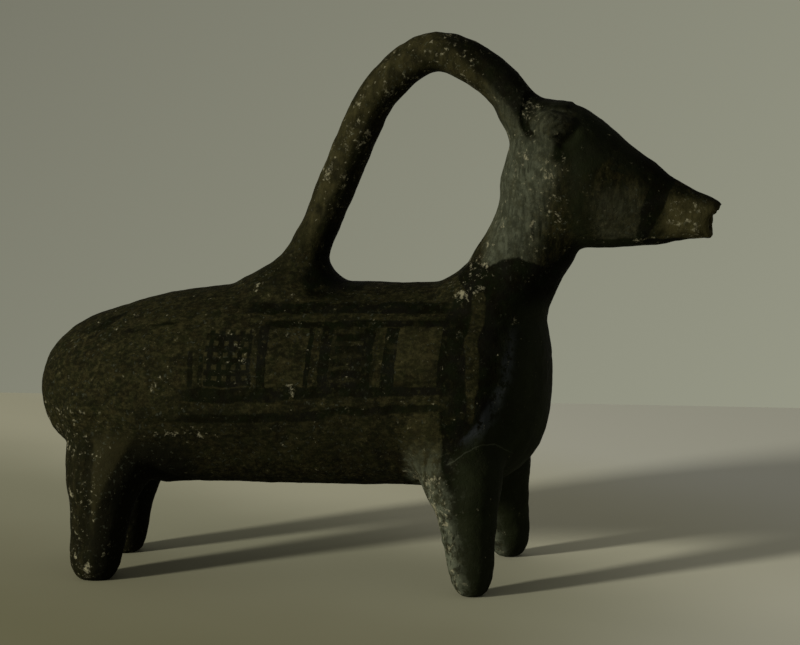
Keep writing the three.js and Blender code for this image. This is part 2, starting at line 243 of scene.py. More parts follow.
def fuse(thing: bpy.types.Object, voxel: float) -> None:
    """Fuses everything in an object into one even skin.

    Args:
        thing: The object to change.
        voxel: Size of the new faces.
    """
    step = thing.modifiers.new("fuse", "REMESH")
    step.mode = "VOXEL"
    step.voxel_size = voxel
    settle(thing)


def cut(thing: bpy.types.Object, cutter: bpy.types.Object, operation: str) -> None:
    """Cuts an object with a closed one. Each face keeps its material index.

    Args:
        thing: The object to change.
        cutter: The object that cuts.
        operation: DIFFERENCE or INTERSECT.
    """
    step = thing.modifiers.new("cut", "BOOLEAN")
    step.solver = "MANIFOLD"
    step.operation = operation
    step.object = cutter
    settle(thing)


def drop_crumbs(skin: bmesh.types.BMesh, least: int) -> None:
    """Deletes loose islands that a cut left behind.

    Args:
        skin: The piece.
        least: Fewest corners of an island that stays.
    """
    unseen = set(skin.verts)
    while unseen:
        island, front = set(), [unseen.pop()]
        while front:
            vert = front.pop()
            island.add(vert)
            beside = {edge.other_vert(vert) for edge in vert.link_edges} & unseen
            unseen -= beside
            front.extend(beside)
        if len(island) < least:
            bmesh.ops.delete(skin, geom=list(island), context="VERTS")


def close_up(skin: bmesh.types.BMesh) -> None:
    """Replaces the few pinched faces that a cut left with flat patches.

    Args:
        skin: The piece.
    """
    for _ in range(CLOSING_ROUNDS):
        bad = [edge for edge in skin.edges if len(edge.link_faces) != 2]
        if not bad:
            return
        around = {face for edge in bad for vert in edge.verts for face in vert.link_faces}
        bmesh.ops.delete(skin, geom=list(around), context="FACES_ONLY")
        loose = [edge for edge in skin.edges if not edge.link_faces]
        bmesh.ops.delete(skin, geom=loose, context="EDGES")
        bmesh.ops.delete(skin, geom=[vert for vert in skin.verts if not vert.link_edges], context="VERTS")
        rim = [edge for edge in skin.edges if len(edge.link_faces) == 1]
        filled = bmesh.ops.holes_fill(skin, edges=rim, sides=0)["faces"]
        bmesh.ops.triangulate(skin, faces=filled)
    LOG.warning("a piece has %d pinched edges", len(bad))


@dataclass(frozen=True)
class Mark:
    """A groove, crack or lump left in the clay, drawn on the side view.

    Attributes:
        path: X and Z of its points, in millimetres.
        width: Half-width of the mark, in millimetres.
        depth: Depth in millimetres. A negative depth is a lump.
        sides: The flanks that carry it: -1 is the right one and 1 the left one.
    """

    path: tuple[tuple[float, float], ...]
    width: float
    depth: float
    sides: tuple[int, ...] = (-1,)

    def dent(self, places: np.ndarray) -> np.ndarray:
        """How far the mark sinks each place.

        Args:
            places: One row of X, Y and Z for each place, in millimetres.

        Returns:
            A depth for each place, in millimetres.
        """
        flat = places[:, (0, 2)]
        nearest = np.full(len(flat), np.inf)
        ends = self.path if len(self.path) > 1 else self.path * 2
        for start, end in zip(np.array(ends), np.array(ends)[1:]):
            run = end - start
            share = np.clip((flat - start) @ run / max(run @ run, 1e-9), 0, 1)
            nearest = np.minimum(nearest, np.linalg.norm(flat - start - share[:, None] * run, axis=1))
        on_side = np.isin(np.sign(places[:, 1]), self.sides)
        return self.depth * np.exp(-((nearest / self.width) ** 2)) * on_side


BOTH = (-1, 1)
MARKS = (
    # Drying cracks down the neck
    Mark(((49, 107.5), (48.6, 103), (49.3, 99)), 0.5, 0.42),
    Mark(((46.2, 110.5), (45.6, 106), (46.6, 101.5)), 0.45, 0.34),
    Mark(((51, 104), (50.7, 99.5)), 0.45, 0.3),
    Mark(((44, 105.5), (43.5, 100)), 0.45, 0.25),
    Mark(((47.3, 113.5), (47.9, 109), (47.2, 104)), 0.5, 0.36, (1,)),
    Mark(((44.3, 108), (43.8, 102.5)), 0.45, 0.3, (1,)),
    # The gap behind each ear, where the handle's clay stops
    Mark(((46.1, 138.6), (44.9, 134.5), (45.6, 130.6), (48.4, 128.4)), 1, 0.9, BOTH),
    Mark(((48.6, 136), (49.6, 132.4)), 0.7, 0.5, BOTH),
    # The worn ears: a raised rim, scratches across, and the pit in front
    Mark(((51.6, 130.6), (53.9, 135.9), (57.2, 136.2)), 0.8, -0.5, BOTH),
    Mark(((50.8, 130.2), (53.6, 133.6)), 0.3, 0.35, BOTH),
    Mark(((52.6, 130.4), (56.2, 134)), 0.3, 0.3, BOTH),
    Mark(((51.9, 128.6), (57.3, 132.2)), 0.35, 0.3, BOTH),
    Mark(((53.6, 127.2), (57.6, 129.2), (56, 131)), 0.3, 0.3, BOTH),
    Mark(((57.4, 126.4), (60.3, 128.6)), 1.3, 0.7, BOTH),
    # Eyes
    Mark(((70.9, 119.5), (74.6, 118.2)), 0.9, 0.25, BOTH),
    # The rear legs' grooves, and the crease where they join the rump
    Mark(((-79.3, 38), (-80.6, 25), (-81, 11)), 2.2, 0.9),
    Mark(((-83, 36), (-84, 22), (-83.4, 12)), 2.2, 0.7, (1,)),
    Mark(((-86.5, 47.6), (-81, 48.2), (-77.5, 46.8)), 0.7, 0.4),
    # The thin lower lip and the chin behind it
    Mark(((98.4, 104.2),), 1.5, 1.1, BOTH),
    Mark(((87.5, 97), (95, 98)), 2.4, 0.8, BOTH),
    # Lime lumps on the legs, the muzzle and the handle
    Mark(((25.6, 15.8),), 1.3, -0.7),
    Mark(((28.6, 8),), 1.7, -0.75),
    Mark(((26.4, 24.2), (27.6, 22.6)), 1.1, -0.5),
    Mark(((24.4, 20.4), (25, 18.8)), 1, -0.6),
    Mark(((25.8, 33), (26.6, 31.4)), 1, -0.4),
    Mark(((87.8, 109.4),), 1.2, -0.3),
    Mark(((90.6, 103.6), (92.8, 103)), 1.3, -0.35),
    Mark(((83.9, 101.8),), 1.1, -0.3),
    Mark(((30.2, 3.6),), 1.2, -0.45),
    Mark(((78.3, 99.6),), 1.6, -0.55),
    Mark(((93.6, 101.4),), 1.5, -0.4),
    Mark(((90, 107),), 1.2, -0.35),
    Mark(((27.6, 88.6),), 1.5, -0.5, BOTH),
    Mark(((-93.6, 43.4),), 1.4, -0.4),
    # Fine scratches and chips on the body
    Mark(((-36, 79.5), (-31, 80.4)), 0.5, 0.25),
    Mark(((-17, 56), (-13, 55.2)), 0.7, 0.3),
    Mark(((4, 82.5), (9, 82)), 0.5, 0.2),
    Mark(((-60, 41), (-56, 39.5)), 0.8, 0.25, BOTH),
    Mark(((-77.4, 52.9), (-74.6, 53.3), (-71.6, 54.2)), 0.5, 0.4),
    Mark(((-78.4, 72.8), (-73, 75.6)), 0.7, 0.25, BOTH),
    # Knife facets and rubbed hollows along the handle
    Mark(((-14, 106), (-9.6, 117)), 1.4, 0.35),
    Mark(((-5, 128), (0.6, 137)), 1.4, 0.35),
    Mark(((8, 146.5), (18, 151)), 1.3, 0.3),
    Mark(((28, 150), (36, 143.5)), 1.4, 0.35),
)


@dataclass
class ClaySkin:
    """The vessel's whole surface, from which every piece is parted.

    The CAD's pieces are pressed together, the joints are smoothed over as a potter lutes them, and the
    surface gets its hand-made unevenness, marks and hollow.
    """

    overlap: float = 0.25 * MM
    coarse: float = 1.0 * MM
    fine: float = 0.5 * MM
    hollow_grain: float = 1.5 * MM
    luting_inner: float = 2.5 * MM
    luting_outer: float = 6.5 * MM
    luting_rounds: int = 28
    luting_strength: float = 0.5
    # Joints at the ears are lightly luted, so that the ears stand out
    ear_share: float = 0.22
    neck_lean: float = 25.0
    sharp_angle: float = 60.0
    # A seam's corner takes its normal from these many corners of the whole skin
    seam_corners: int = 4
    seam_grain: float = 0.01 * MM
    shape: bpy.types.Object = field(init=False)
    places: KDTree = field(init=False)
    normals: list[Vector] = field(init=False)

    FAMILIES: ClassVar[dict[str, str]] = {"rump_dome": "barrel", "chest_dome": "barrel", "muzzle": "skull"}
    # Wavelength and height of each layer of unevenness: palm, fingers, and the drag of coarse clay
    UNEVENNESS_MM: ClassVar[tuple[tuple[float, float], ...]] = ((21.0, 0.42), (8.0, 0.27), (3.4, 0.13), (1.5, 0.06))
    # Each layer reads the noise elsewhere, so that no two line up
    NOISE_STEP: ClassVar[float] = 17.3
    NOISE_START: ClassVar[tuple[float, float]] = (5.1, 9.7)
    # Rings of oval_tube: X, Z, half-thickness and half-width
    MOUTH_PLUG_MM: ClassVar[list] = [(84.5, 104.4, 4.6, 4.6), (95.6, 104.2, 4.1, 4.1)]
    BODY_HOLLOW_MM: ClassVar[list] = [
        (-94, 51.6, 3, 3), (-92, 51.8, 8, 8), (-88, 52.3, 13.2, 13.4), (-82, 53, 17.3, 17.7),
        (-74, 53.6, 20.4, 20.8), (-64, 53.9, 22.3, 22.7), (-52.5, 54.3, 23, 23.4), (-26.5, 55.6, 24.2, 23.4),
        (21.5, 55.6, 24.2, 23.4), (31, 55.8, 23, 22.2), (39, 56.4, 19.6, 18.8), (44, 57.2, 12.6, 12.2),
        (45.4, 57.6, 4, 4),
    ]
    NECK_HOLLOW_MM: ClassVar[list] = [
        (34.5, 72, 9.6, 9.4), (41, 88, 9.2, 8.8), (46, 98, 8.8, 8.5), (52, 113, 8.8, 8),
    ]
    HEAD_HOLLOW_MM: ClassVar[list] = [
        (42.6, 116.2, 4, 3.5), (45, 116.6, 10, 7.6), (50, 117.4, 15.4, 10.4), (56, 116.8, 16.2, 11.2),
        (62, 115.4, 14.8, 10.9), (68, 113.6, 12, 9.2), (75, 109.4, 7.4, 6.4), (82, 106.2, 4.6, 4.6),
        (89, 104.2, 3.4, 3.5), (96.6, 104.2, 3.4, 3.5), (103.4, 104.2, 3.7, 3.8),
    ]

    def build(self) -> None:
        """Makes the whole skin, step by step."""
        self.press_together()
        self.lute_joints()
        fuse(self.shape, self.fine)
        self.weather()
        self.remember()
        self.hollow_out()
        LOG.info("skin: %d corners", len(self.shape.data.vertices))

    def press_together(self) -> None:
        """Joins the CAD's pieces, a little swollen, into one coarse skin with its mouth plugged."""
        parts = [oval_tube(self.MOUTH_PLUG_MM)]
        for node in frame["nodes"]:
            part = solid_copy(node)
            swell(part, self.overlap)
            parts.append(part)
        self.shape = make_object("clay_skin", *parts)
        fuse(self.shape, self.coarse)

    def lute_joints(self) -> None:
        """Smooths the skin near its joints, where two pieces of clay come close to each other."""
        trees: dict[str, list[BVHTree]] = {}
        for node in frame["nodes"]:
            part = solid_copy(node)
            trees.setdefault(self.FAMILIES.get(node, node), []).append(BVHTree.FromBMesh(part))
            part.free()
        group = self.shape.vertex_groups.new(name="luted")
        span = self.luting_outer - self.luting_inner
        for vert in self.shape.data.vertices:
            reached = {}
            for name, family in trees.items():
                hits = [tree.find_nearest(vert.co, self.luting_outer)[3] for tree in family]
                near = [distance for distance in hits if distance is not None]
                if near:
                    reached[name] = min(near)
            if len(reached) > 1:
                share = min(1.0, (self.luting_outer - sorted(reached.values())[1]) / span)
                if any(name.startswith("ear") for name in reached):
                    share *= self.ear_share
                group.add([vert.index], share, "REPLACE")
        smooth = self.shape.modifiers.new("luting", "SMOOTH")
        smooth.factor = self.luting_strength
        smooth.iterations = self.luting_rounds
        smooth.vertex_group = group.name
        settle(self.shape)
        self.shape.vertex_groups.clear()

    def weather(self) -> None:
        """Gives the fine skin its unevenness and marks, and keeps it inside the CAD's box."""
        mesh = self.shape.data
        count = len(mesh.vertices)
        places = np.empty(count * 3, np.float32)
        mesh.vertices.foreach_get("co", places)
        places = places.reshape(-1, 3).astype(float) / MM
        normals = np.empty(count * 3, np.float32)
        mesh.vertex_normals.foreach_get("vector", normals)
        normals = normals.reshape(-1, 3)
        height = np.full(count, -self.overlap / MM)
        for turn, (wavelength, rise) in enumerate(self.UNEVENNESS_MM):
            shift = Vector((self.NOISE_STEP * turn, *self.NOISE_START))
            height += rise * np.array([noise.noise(Vector(place) / wavelength + shift) for place in places])
        for mark in MARKS:
            height -= mark.dent(places)
        places = (places + normals * height[:, None]) * MM
        places = np.clip(places, np.array(CAD_BOX[0]), np.array(CAD_BOX[1]))
        mesh.vertices.foreach_set("co", places.astype(np.float32).ravel())
        mesh.update()

    def remember(self) -> None:
        """Keeps the whole skin's normals, so that pieces parted from it still meet without a seam."""
        verts = self.shape.data.vertices
        self.places = KDTree(len(verts))
        for vert in verts:
            self.places.insert(vert.co, vert.index)
        self.places.balance()
        self.normals = [vert.normal.copy() for vert in verts]
        for _ in range(2):
            self.shape.data.materials.append(None)

    def normal_at(self, place: Vector) -> Vector | None:
        """The whole skin's normal at a place.

        Args:
            place: The place.

        Returns:
            The normal, or None away from the skin.
        """
        found = self.places.find_n(place, self.seam_corners)
        if found[0][2] > self.fine:
            return None
        total = Vector()
        for _, index, distance in found:
            total += self.normals[index] / (distance + self.seam_grain)
        return total.normalized()

    def heal_seams(self, piece: bpy.types.Object) -> None:
        """Makes the cut faces' edges sharp and gives the corners along them the whole skin's normals.

        Args:
            piece: A piece parted from the skin. Its cut faces have material index 1.
        """
        mesh = piece.data
        mesh.shade_smooth()
        mesh.set_sharp_from_angle(angle=math.radians(self.sharp_angle))
        on_cut, on_skin = set(), set()
        edges_on_cut: dict[tuple[int, int], int] = {}
        for face in mesh.polygons:
            (on_cut if face.material_index else on_skin).update(face.vertices)
            if face.material_index:
                for key in face.edge_keys:
                    edges_on_cut[key] = edges_on_cut.get(key, 0) + 1
        for edge in mesh.edges:
            if edges_on_cut.get(edge.key) == 1:
                edge.use_edge_sharp = True
        seam = on_cut & on_skin
        healed = {index: self.normal_at(mesh.vertices[index].co) for index in seam}
        normals = [Vector(corner.vector) for corner in mesh.corner_normals]
        for face in mesh.polygons:
            if face.material_index:
                continue
            for corner, index in zip(face.loop_indices, face.vertices):
                if healed.get(index) is not None:
                    normals[corner] = healed[index]
            face.use_smooth = True
        mesh.normals_split_custom_set(normals)
        for face in mesh.polygons:
            face.material_index = 0

    def hollow_out(self) -> None:
        """Cuts the hollow of the body, the neck, the head and the mouth."""
        hollow = make_object(
            "hollow",
            oval_tube(self.BODY_HOLLOW_MM),
            oval_tube(self.NECK_HOLLOW_MM, math.radians(self.neck_lean)),
            oval_tube(self.HEAD_HOLLOW_MM),
        )
        fuse(hollow, self.hollow_grain)
        cut(self.shape, hollow, "DIFFERENCE")
        discard(hollow)

    def part(self, name: str, cutter: bmesh.types.BMesh) -> bpy.types.Object:
        """Parts a piece from the skin.

        Args:
            name: Name of the new piece.
            cutter: The space that the piece takes. It is freed.

        Returns:
            The piece.
        """
        tool = make_object("cutter", cutter)
        for _ in range(2):
            tool.data.materials.append(None)
        for face in tool.data.polygons:
            face.material_index = 1
        piece = self.shape.copy()
        piece.data = self.shape.data.copy()
        piece.name = name
        bpy.context.scene.collection.objects.link(piece)
        cut(piece, tool, "INTERSECT")
        cut(self.shape, tool, "DIFFERENCE")
        discard(tool)
        return piece

    def part_node(self, node: str, reach: float) -> bpy.types.Object:
        """Parts the clay round a CAD node.

        Args:
            node: The CAD node.
            reach: How far round it the piece reaches.

        Returns:
            The piece.
        """
        space = solid_copy(node)
        swell(space, reach)
        return self.part(node, space)


# Clay as a material

Wire = Any
Bends = list[tuple[float, float]]
Edge = float | Bends | None
Span = tuple[Edge, Edge, float]
OPEN: Span = (None, None, 0.0)


class Paint(Enum):
    """The painted and bare areas that a piece can carry, each named for where it lies."""

    RUMP_DASHES = "rump_dashes"
    LATTICE = "lattice"
    PANELS = "panels"
    BANDS = "bands"
    SHOULDER = "shoulder"
    HEAD = "head"
    HANDLE_FOOT = "handle_foot"
    HANDLE = "handle"


class Grain(Enum):
    """What lies at random on the clay.

    Each has its size in millimetres, the noise level where it starts, the softness of its edge, its
    strength, how many finer layers it has and how strong they are.
    """

    FIRING = (11.0, 0.46, 0.42, 1.0, 4, 0.55)
    MOSS = (2.7, 0.54, 0.24, 0.4, 4, 0.6)
    RUST = (3.3, 0.56, 0.24, 0.3, 4, 0.6)
    # Coarse sand, which lies in clumps
    GRIT = (1.5, 0.6, 0.22, 1.0, 4, 0.75)
    CLUMPS = (5.0, 0.52, 0.24, 1.0, 4, 0.65)
    PITS = (1.1, 0.6, 0.08, 0.7, 3, 0.5)
    PORES = (0.7, 0.36, 0.16, 1.0, 2, 0.5)
    NICKS = (1.1, 0.6, 0.08, 1.0, 3, 0.6)
    MOTTLE = (3.0, 0.46, 0.24, 1.0, 4, 0.65)
    FLAKED = (2.7, 0.47, 0.16, 0.8, 4, 0.62)
    DUST = (1.1, 0.65, 0.1, 0.34, 3, 0.5)
    DUST_CLOUDS = (8.0, 0.5, 0.18, 1.0, 3, 0.5)
    # How the slip is uneven, smeared, broken and worn through
    THIN_SLIP = (3.3, 0.5, 0.2, 0.8, 3, 0.5)
    RUBBED_SLIP = (7.0, 0.54, 0.2, 0.5, 3, 0.5)
    SMUDGE = (3.6, 0.5, 0.24, 0.6, 3, 0.5)
    SMEAR = (3.0, 0.5, 0.2, 1.0, 3, 0.5)
    STRIPE_RUBS = (3.0, 0.38, 0.2, 1.0, 4, 0.6)
    # Breaks in the painted reflection down the shoulder
    PAINTED_REFLECTION_BREAKS = (2.4, 0.45, 0.16, 1.0, 4, 0.65)
    HANDLE_PATCHES = (6.0, 0.52, 0.16, 1.0, 4, 0.6)
    WEAR = (1.7, 0.6, 0.16, 0.7, 5, 0.62)
    SCUFFS = (6.0, 0.64, 0.12, 0.5, 3, 0.5)


class NodeBuilder:
    """Fills one node tree."""

    def __init__(self, tree: bpy.types.NodeTree) -> None:
        """Empties the tree.

        Args:
            tree: The tree to fill.
        """
        self.tree = tree
        tree.nodes.clear()

    def add(self, kind: str, wires: dict[int | str, Wire], output: int | str = 0, **settings: Any) -> Wire:
        """Adds a node.

        Args:
            kind: The node's type.
            wires: A socket to link or a value to set, for each input.
            output: The output to hand back.
            **settings: The node's own settings.

        Returns:
            The node's output socket.
        """
        node = self.tree.nodes.new(kind)
        for name, value in settings.items():
            setattr(node, name, value)
        for slot, wire in wires.items():
            if isinstance(wire, bpy.types.NodeSocket):
                self.tree.links.new(wire, node.inputs[slot])
            else:
                node.inputs[slot].default_value = wire
        return node.outputs[output] if node.outputs else None


class ClayPainter(NodeBuilder):
    """Builds one clay's node tree. All of its places are in millimetres on Object coordinates."""

    # Size and reach of a brush's wobbles: the hand's, then the hairs'
    WOBBLES_MM: ClassVar[tuple[tuple[float, float], ...]] = ((5.0, 0.75), (0.9, 0.26))

    def __init__(self, name: str) -> None:
        """Starts an empty material.

        Args:
            name: Name of the material.
        """
        self.material = bpy.data.materials.new(name)
        self.material.use_nodes = True
        super().__init__(self.material.node_tree)
        coordinates = self.add("ShaderNodeTexCoord", {}, "Object")
        self.place = self.add("ShaderNodeVectorMath", {0: coordinates, "Scale": 1 / MM}, operation="SCALE")
        brushed = self.place
        for size, reach in self.WOBBLES_MM:
            brushed = self.waver(brushed, size, reach)
        self.x, self.y, self.z = self.add("ShaderNodeSeparateXYZ", {0: brushed}).node.outputs

    def noise(self, size: float, detail: float = 2.0, place: Wire = None, roughness: float = 0.5) -> Wire:
        """Soft random patches from 0 to 1.

        Args:
            size: Size of the patches, in millimetres.
            detail: How many finer layers they have.
            place: Where to read them, or None for the piece's own place.
            roughness: Strength of the finer layers.

        Returns:
            The patches' value.
        """
        wires = {"Vector": place or self.place, "Scale": 1 / size, "Detail": detail, "Roughness": roughness}
        return self.add("ShaderNodeTexNoise", wires)

    def random(self, grain: Grain, place: Wire = None) -> Wire:
        """What lies at random on the clay.

        Args:
            grain: What it is.
            place: Where to read it, or None for the piece's own place.

        Returns:
            Its share at each place.
        """
        size, start, soft, full, detail, roughness = grain.value
        return self.beyond(self.noise(size, detail, place, roughness), start, soft, full)

    def waver(self, place: Wire, size: float, reach: float) -> Wire:
        """Moves a place about, so that what is painted there has a brush's unsteady edge.

        Args:
            place: The place.
            size: Size of the wobbles, in millimetres.
            reach: How far the place moves from end to end, in millimetres.

        Returns:
            The moved place.
        """
        colour = self.add("ShaderNodeTexNoise", {"Vector": place, "Scale": 1 / size, "Detail": 1.0}, "Color")
        centred = self.add("ShaderNodeVectorMath", {0: colour, 1: (0.5, 0.5, 0.5)}, operation="SUBTRACT")
        scaled = self.add("ShaderNodeVectorMath", {0: centred, "Scale": 2 * reach}, operation="SCALE")
        return self.add("ShaderNodeVectorMath", {0: place, 1: scaled}, operation="ADD")

    def combine(self, operation: str, values: tuple[Wire, ...]) -> Wire:
        """Combines values, one after another.

        Args:
            operation: How two values are combined.
            values: The values.

        Returns:
            The combined value.
        """
        total = values[0]
        for value in values[1:]:
            total = self.add("ShaderNodeMath", {0: total, 1: value}, operation=operation)
        return total

    def sum(self, *terms: Wire) -> Wire:
        """Adds values."""
        return self.combine("ADD", terms)

    def both(self, *shares: Wire) -> Wire:
        """Multiplies shares, so that the result is full only where all of them are."""
        return self.combine("MULTIPLY", shares)

    def either(self, *shares: Wire) -> Wire:
        """The largest of some shares."""
        return self.combine("MAXIMUM", shares)

    def without(self, share: Wire, strength: float = 1.0) -> Wire:
        """What a share leaves, when it takes away up to its strength."""
        return self.sum(self.both(share, -strength), 1.0)

    def away(self, value: Wire, line: Wire) -> Wire:
        """How far a value is from a line, on either side of it."""
        return self.add("ShaderNodeMath", {0: self.sum(value, self.both(line, -1.0))}, operation="ABSOLUTE")

    def beyond(self, value: Wire, start: Wire, soft: float = 0.3, full: float = 1.0) -> Wire:
        """A share that rises from 0 to full as a value passes a start.

        Args:
            value: The value.
            start: Where the share is half.
            soft: Width of the rise. A negative one makes it fall.
            full: The share well beyond the start.

        Returns:
            The share.
        """
        offset = self.add("ShaderNodeMath", {0: value, 1: start}, operation="SUBTRACT")
        wires = {"Value": offset, "From Min": -soft / 2, "From Max": soft / 2, "To Max": full}
        return self.add("ShaderNodeMapRange", wires, interpolation_type="SMOOTHSTEP")

    def between(self, value: Wire, low: Wire, high: Wire, soft: float = 0.3) -> Wire:
        """A share that is full while a value is between two others, with soft ends."""
        return self.both(self.beyond(value, low, soft), self.beyond(value, high, -soft))

    def stroke(self, value: Wire, line: Wire, half: float, soft: float = 0.5) -> Wire:
        """A share that is full while a value is close to a line, with soft sides."""
        return self.between(value, self.sum(line, -half), self.sum(line, half), soft)

    def area(self, x: Span, z: Span, *shares: Wire) -> Wire:
        """A soft-edged area of the side view.

        An edge is a place, a line that bends along the other axis, or None where the area is open.

        Args:
            x: Its rear edge, its front edge and how soft they are, in millimetres.
            z: Its lower edge, its upper edge and how soft they are, in millimetres.
            *shares: What the area is multiplied by.

        Returns:
            The share.
        """
        sides = []
        for value, along, (low, high, soft) in ((self.x, self.z, x), (self.z, self.x, z)):
            edges = []
            for edge, rise in ((low, soft), (high, -soft)):
                if isinstance(edge, list):
                    edge = self.bent(along, edge)
                if edge is not None:
                    edges.append(self.beyond(value, edge, rise))
            if edges:
                sides.append(self.both(*edges))
        return self.both(*sides, *shares)

    def bent(self, value: Wire, points: Bends) -> Wire:
        """A line's height that bends through points, as a value runs along it.

        Args:
            value: The value.
            points: Pairs of the value and the line's height there.

        Returns:
            The height.
        """
        starts, heights = [p[0] for p in points], [p[1] for p in points]
        low, high = min(heights) - 1, max(heights) + 1
        share = self.add("ShaderNodeMapRange", {"Value": value, "From Min": starts[0], "From Max": starts[-1]})
        height = self.add("ShaderNodeFloatCurve", {"Value": share})
        curve = height.node.mapping.curves[0]
        for start, level in points[1:-1]:
            curve.points.new((start - starts[0]) / (starts[-1] - starts[0]), (level - low) / (high - low))
        curve.points[0].location = (0, (heights[0] - low) / (high - low))
        curve.points[-1].location = (1, (heights[-1] - low) / (high - low))
        for point in curve.points:
            point.handle_type = "VECTOR"
        height.node.mapping.update()
        return self.add("ShaderNodeMapRange", {"Value": height, "To Min": low, "To Max": high})

    def strokes(self, value: Wire, low: float, high: float, edges: Bends) -> Wire:
        """A run of painted and bare strokes along a value.

        Args:
            value: The value.
            low: Where the run starts.
            high: Where it ends.
            edges: Where each stroke starts, and its share of paint.

        Returns:
            The share of paint.
        """
        share = self.add("ShaderNodeMapRange", {"Value": value, "From Min": low, "From Max": high})
        colour = self.add("ShaderNodeValToRGB", {"Fac": share})
        ramp = colour.node.color_ramp
        ramp.interpolation = "CONSTANT"
        while len(ramp.elements) > 1:
            ramp.elements.remove(ramp.elements[-1])
        ramp.elements[0].position = 0
        ramp.elements[0].color = (edges[0][1],) * 3 + (1,)
        for start, paint in edges[1:]:
            ramp.elements.new((start - low) / (high - low)).color = (paint,) * 3 + (1,)
        return colour

    def repeat(self, value: Wire, first: float, spacing: float, half: float, soft: float = 0.35) -> Wire:
        """Lines at an even spacing along a value.

        Args:
            value: The value.
            first: Middle of one of the lines.
            spacing: Distance between their middles.
            half: Half of a line's width.
            soft: Softness of their edges.

        Returns:
            The share of paint.
        """
        offset = self.add("ShaderNodeMath", {0: value, 1: first}, operation="SUBTRACT")
        away = self.add("ShaderNodeMath", {0: offset, 1: spacing / 2}, operation="PINGPONG")
        return self.beyond(away, half, -soft)

    def coat(self, colour: Wire, *coats: tuple[Wire, Wire]) -> Wire:
        """Lays colours over another, one after the other.

        Args:
            colour: The lowest colour, as hex or a socket.
            *coats: How much of each coat shows, and its colour as hex or a socket.

        Returns:
            The mixed colour.
        """
        for share, over in coats:
            under, over = (linear(c) if isinstance(c, str) else c for c in (colour, over))
            # A mix of colours has its colours in slots 6 and 7, and gives its result in slot 2
            colour = self.add("ShaderNodeMix", {0: share, 6: under, 7: over}, 2, data_type="RGBA")
        return colour

    # What is painted, seen from the side

    def rump_dashes(self) -> Wire:
        """Two worn dashes near the top of the rump.

        Returns:
            The share of paint.
        """
        line = self.bent(self.x, [(-81, 71.5), (-71.5, 76.3), (-70.5, 72), (-64, 73), (-63, 73.9), (-52.5, 75.4)])
        half = self.bent(self.x, [
            (-81.2, 0.1), (-76.3, 1.2), (-72, 0.5), (-71.2, 0.05), (-70.3, 0.1), (-67.5, 0.75), (-64.4, 0.05),
            (-62.5, 0.1), (-58, 0.5), (-53, 0.1),
        ])
        dash = self.beyond(self.away(self.z, line), half, -0.7)
        return self.area((-81.2, -53, 1), OPEN, dash, 0.95)

    def lattice(self) -> Wire:
        """The cross-hatched square, with two short strokes behind it.

        Returns:
            The share of paint.
        """
        upright, level = self.repeat(self.x, -42.6, 2.92, 0.86, 0.5), self.repeat(self.z, 71.7, 3.12, 0.97, 0.55)
        lines = self.either(upright, level, self.random(Grain.SMUDGE))
        short = self.repeat(self.x, -45.4, 3.1, 0.75)
        return self.either(
            self.area((-44.4, -30.4, 0.8), (58.2, 73.6, 1), lines),
            self.both(self.between(self.x, -50.2, -44.4), self.between(self.z, 57.6, 67.8, 1.5), short, 0.9),
        )

    def panels(self) -> Wire:
        """The row of upright bars, two bare panels and a ladder, leaning back a little towards the front.

        Returns:
            The share of paint.
        """
        lean = self.add("ShaderNodeMapRange", {"Value": self.x, "From Min": -27, "From Max": -14, "To Max": 0.062})
        drop = self.add("ShaderNodeMath", {0: 73.9, 1: self.z}, operation="SUBTRACT")
        along = self.sum(self.x, self.both(drop, lean))
        bars = self.strokes(along, -31, 37, [
            (-31, 0.15), (-29, 1), (-26.2, 0), (-14.4, 1), (-12.7, 0), (-10.4, 1), (-7.6, 0.55),
            (-5.9, 0), (1.8, 1), (4.6, 0.4), (5.8, 0), (7.8, 1), (11.6, 0), (23.8, 1),
        ])
        gaps = self.repeat(self.z, 74.1, 3.37, 0.6, 0.6)
        rungs = self.both(self.between(along, -6.2, 2), self.without(gaps, 0.62))
        # The second panel's lower right half is darkened, by smears of the same slip
        lower_right = self.beyond(self.sum(self.z, self.both(along, -0.9)), 47.5, -6)
        smear = self.both(self.between(along, 13, 24, 1.5), lower_right, self.random(Grain.SMEAR), 0.5)
        return self.area((-31, 30, 0.3), (58, 75, 0.6), self.either(bars, rungs, smear))

    def bands(self) -> Wire:
        """Two bands above the row and two below it.

        Returns:
            The share of paint.
        """
        top = self.bent(self.x, [(-35, 79.1), (-29, 79.2), (-10, 79.4), (12, 79.8), (26, 80)])
        second = self.bent(self.x, [(-28, 75.2), (0, 75.7), (26, 76.3)])
        thick_low = [(-58, 54.4), (-50, 54), (-39, 53.6), (-25, 54.2), (-16, 55.2), (-4, 55.8), (12, 56.4), (26, 57)]
        thick_high = [(-58, 56.6), (-48, 57.8), (-25, 58.3), (-10, 58.9), (26, 59.2)]
        thin_low = [
            (-76, 47.5), (-54, 47.8), (-40, 47.5), (-25.5, 48.1), (-13, 48.9), (-4, 50.6), (11, 51.4), (26, 52.6),
        ]
        thin_high = [
            (-76, 48), (-62, 49), (-54, 50.2), (-40, 50), (-25.5, 50.8), (-13, 51.8), (-4, 53.1), (11, 53.8),
            (26, 54.6),
        ]
        front = self.beyond(self.x, 26, -1)
        return self.either(
            self.area((-33.5, 26, 3), OPEN, self.stroke(self.z, top, 1.35)),
            self.area((-27.8, 26, 1), OPEN, self.stroke(self.z, second, 0.85)),
            self.area((-52, None, 9), (thick_low, thick_high, 0.6), front, 0.95),
            self.area((-58, None, 26), (thin_low, thin_high, 0.7), front, 0.9),
        )

